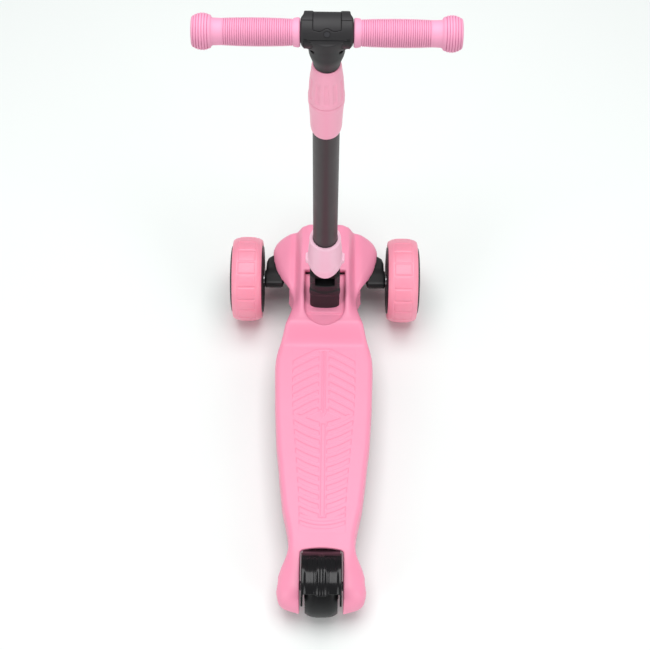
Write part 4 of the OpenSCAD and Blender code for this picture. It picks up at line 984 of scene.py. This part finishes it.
head_charcoal = moulded_plastic("head_charcoal", (0.028, 0.027, 0.029), 0.5,
                                grain=0.35, grain_size=1100, mottle=0.08, gloss=0.25)
low = (xs[0], ys[0], zs[0] + BAR_T)
for name, node, field in (("head_panel", "head_cap", panel),
                          ("head_back", "head_rear_shell", np.maximum(shells, y + 0.04)),
                          ("head_front", "head_front_shell", np.maximum(shells, 0.04 - y))):
    head_piece = on_stem(moulded(name, field, low, step))
    head_piece.data.materials.append(head_charcoal)
    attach(head_piece, "t_bar")
    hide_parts(node)
finish_part(dark_screw, "head_screws")

# ---------------------------------------------------------------- grips
# Soft pink elastomer grips pushed on the crossbar, with a bell flange, close ribs and a ball end.
# The ribs are turned fine enough to feel as a thread under the fingers.
GRIP_LENGTH = 116
BAR_END = cad_high.x / MM
RIBS = 32
RIB_PITCH = 2.35
RIB_DEPTH = 1.25
RIBS_FROM = 8.6
BULB_FROM = 20.6
BULB_LENGTH = 19.4
BULB_RINGS = 6.5


def grip_profile():
    start = BAR_END - GRIP_LENGTH
    points = [(11.02, start + 0.1), (14.2, start), (15.3, start + 0.7), (15.8, start + 2.2),
              (15.6, start + 4.4), (14.9, start + 7.4)]
    points = smooth_run(points, 4)
    rib_from = start + RIBS_FROM
    for k in range(RIBS):
        for part in range(8):
            u = k + part / 8
            share = u / RIBS
            swell = 14.35 + 1.1 * math.sin(math.pi * min(1, share * 0.98)) ** 0.7
            crest = math.sin(math.pi * (part / 8)) ** 0.5
            points.append((swell - RIB_DEPTH * (1 - crest), rib_from + u * RIB_PITCH))
    neck = rib_from + RIBS * RIB_PITCH
    points += [(14.3, neck + 0.4), (14.35, neck + 3.5), (14.6, BAR_END - 22.5), (15.8, BAR_END - 21)]
    bulb = []
    for k in range(81):
        t = k / 80
        r = 16.2 + 3.5 * math.sin(math.pi * min(1, 0.06 + t * 0.94)) ** 0.8
        place = BAR_END - BULB_FROM + t * BULB_LENGTH
        ridge = math.cos(2 * math.pi * t * BULB_RINGS)
        bulb.append((r - 0.75 * ease(ridge, 0.35, 0.95) * (0.04 < t < 0.97), place))
    points += bulb
    points += [(15.9, BAR_END - 0.6), (14.5, BAR_END), (6, BAR_END - 0.2), (0.05, BAR_END - 0.2),
               (0.05, BAR_END - 6), (11.02, BAR_END - 6)]
    return points


grip_pink = moulded_plastic("grip_pink", (0.84, 0.35, 0.52), 0.55, grain=0.3, grain_size=900, mottle=0.06)
# The grooves between the ribs and the rings round the ball end get a darker pink. This is painted shade for
# the light that reaches less into them.
painted_groove_shade = moulded_plastic("painted_groove_shade", (0.58, 0.16, 0.30), 0.6,
                              grain=0.3, grain_size=900, mottle=0.06)
bar_centre = Vector((0, FOLD_Y, FOLD_Z)) + STEM_UP * BAR_T
for side, sign in (("left", -1), ("right", 1)):
    grip = lathe(f"{side}_hand_grip", grip_profile(), tuple(bar_centre), (sign, 0, 0), 120)
    grip.data.materials.append(grip_pink)
    grip.data.materials.append(painted_groove_shade)
    # Faces in the rib grooves and the ball's ring grooves take the second, darker material as painted shade.
    centres = np.empty(len(grip.data.polygons) * 3)
    grip.data.polygons.foreach_get("center", centres)
    place = np.abs(centres[::3]) / MM
    turn = (place - (BAR_END - GRIP_LENGTH + RIBS_FROM)) / RIB_PITCH
    groove_shade_faces = (np.abs(turn % 1 - 0.5) > 0.37) & (turn > 0) & (turn < RIBS)
    bulb_turn = (place - BAR_END + BULB_FROM) / BULB_LENGTH
    ring_groove_shade = np.cos(2 * math.pi * bulb_turn * BULB_RINGS) > 0.72
    groove_shade_faces |= ring_groove_shade & (bulb_turn > 0.04) & (bulb_turn < 0.97)
    grip.data.polygons.foreach_set("material_index", groove_shade_faces.astype(np.int32))
    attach(grip, "t_bar")
    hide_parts(f"{side}_grip")
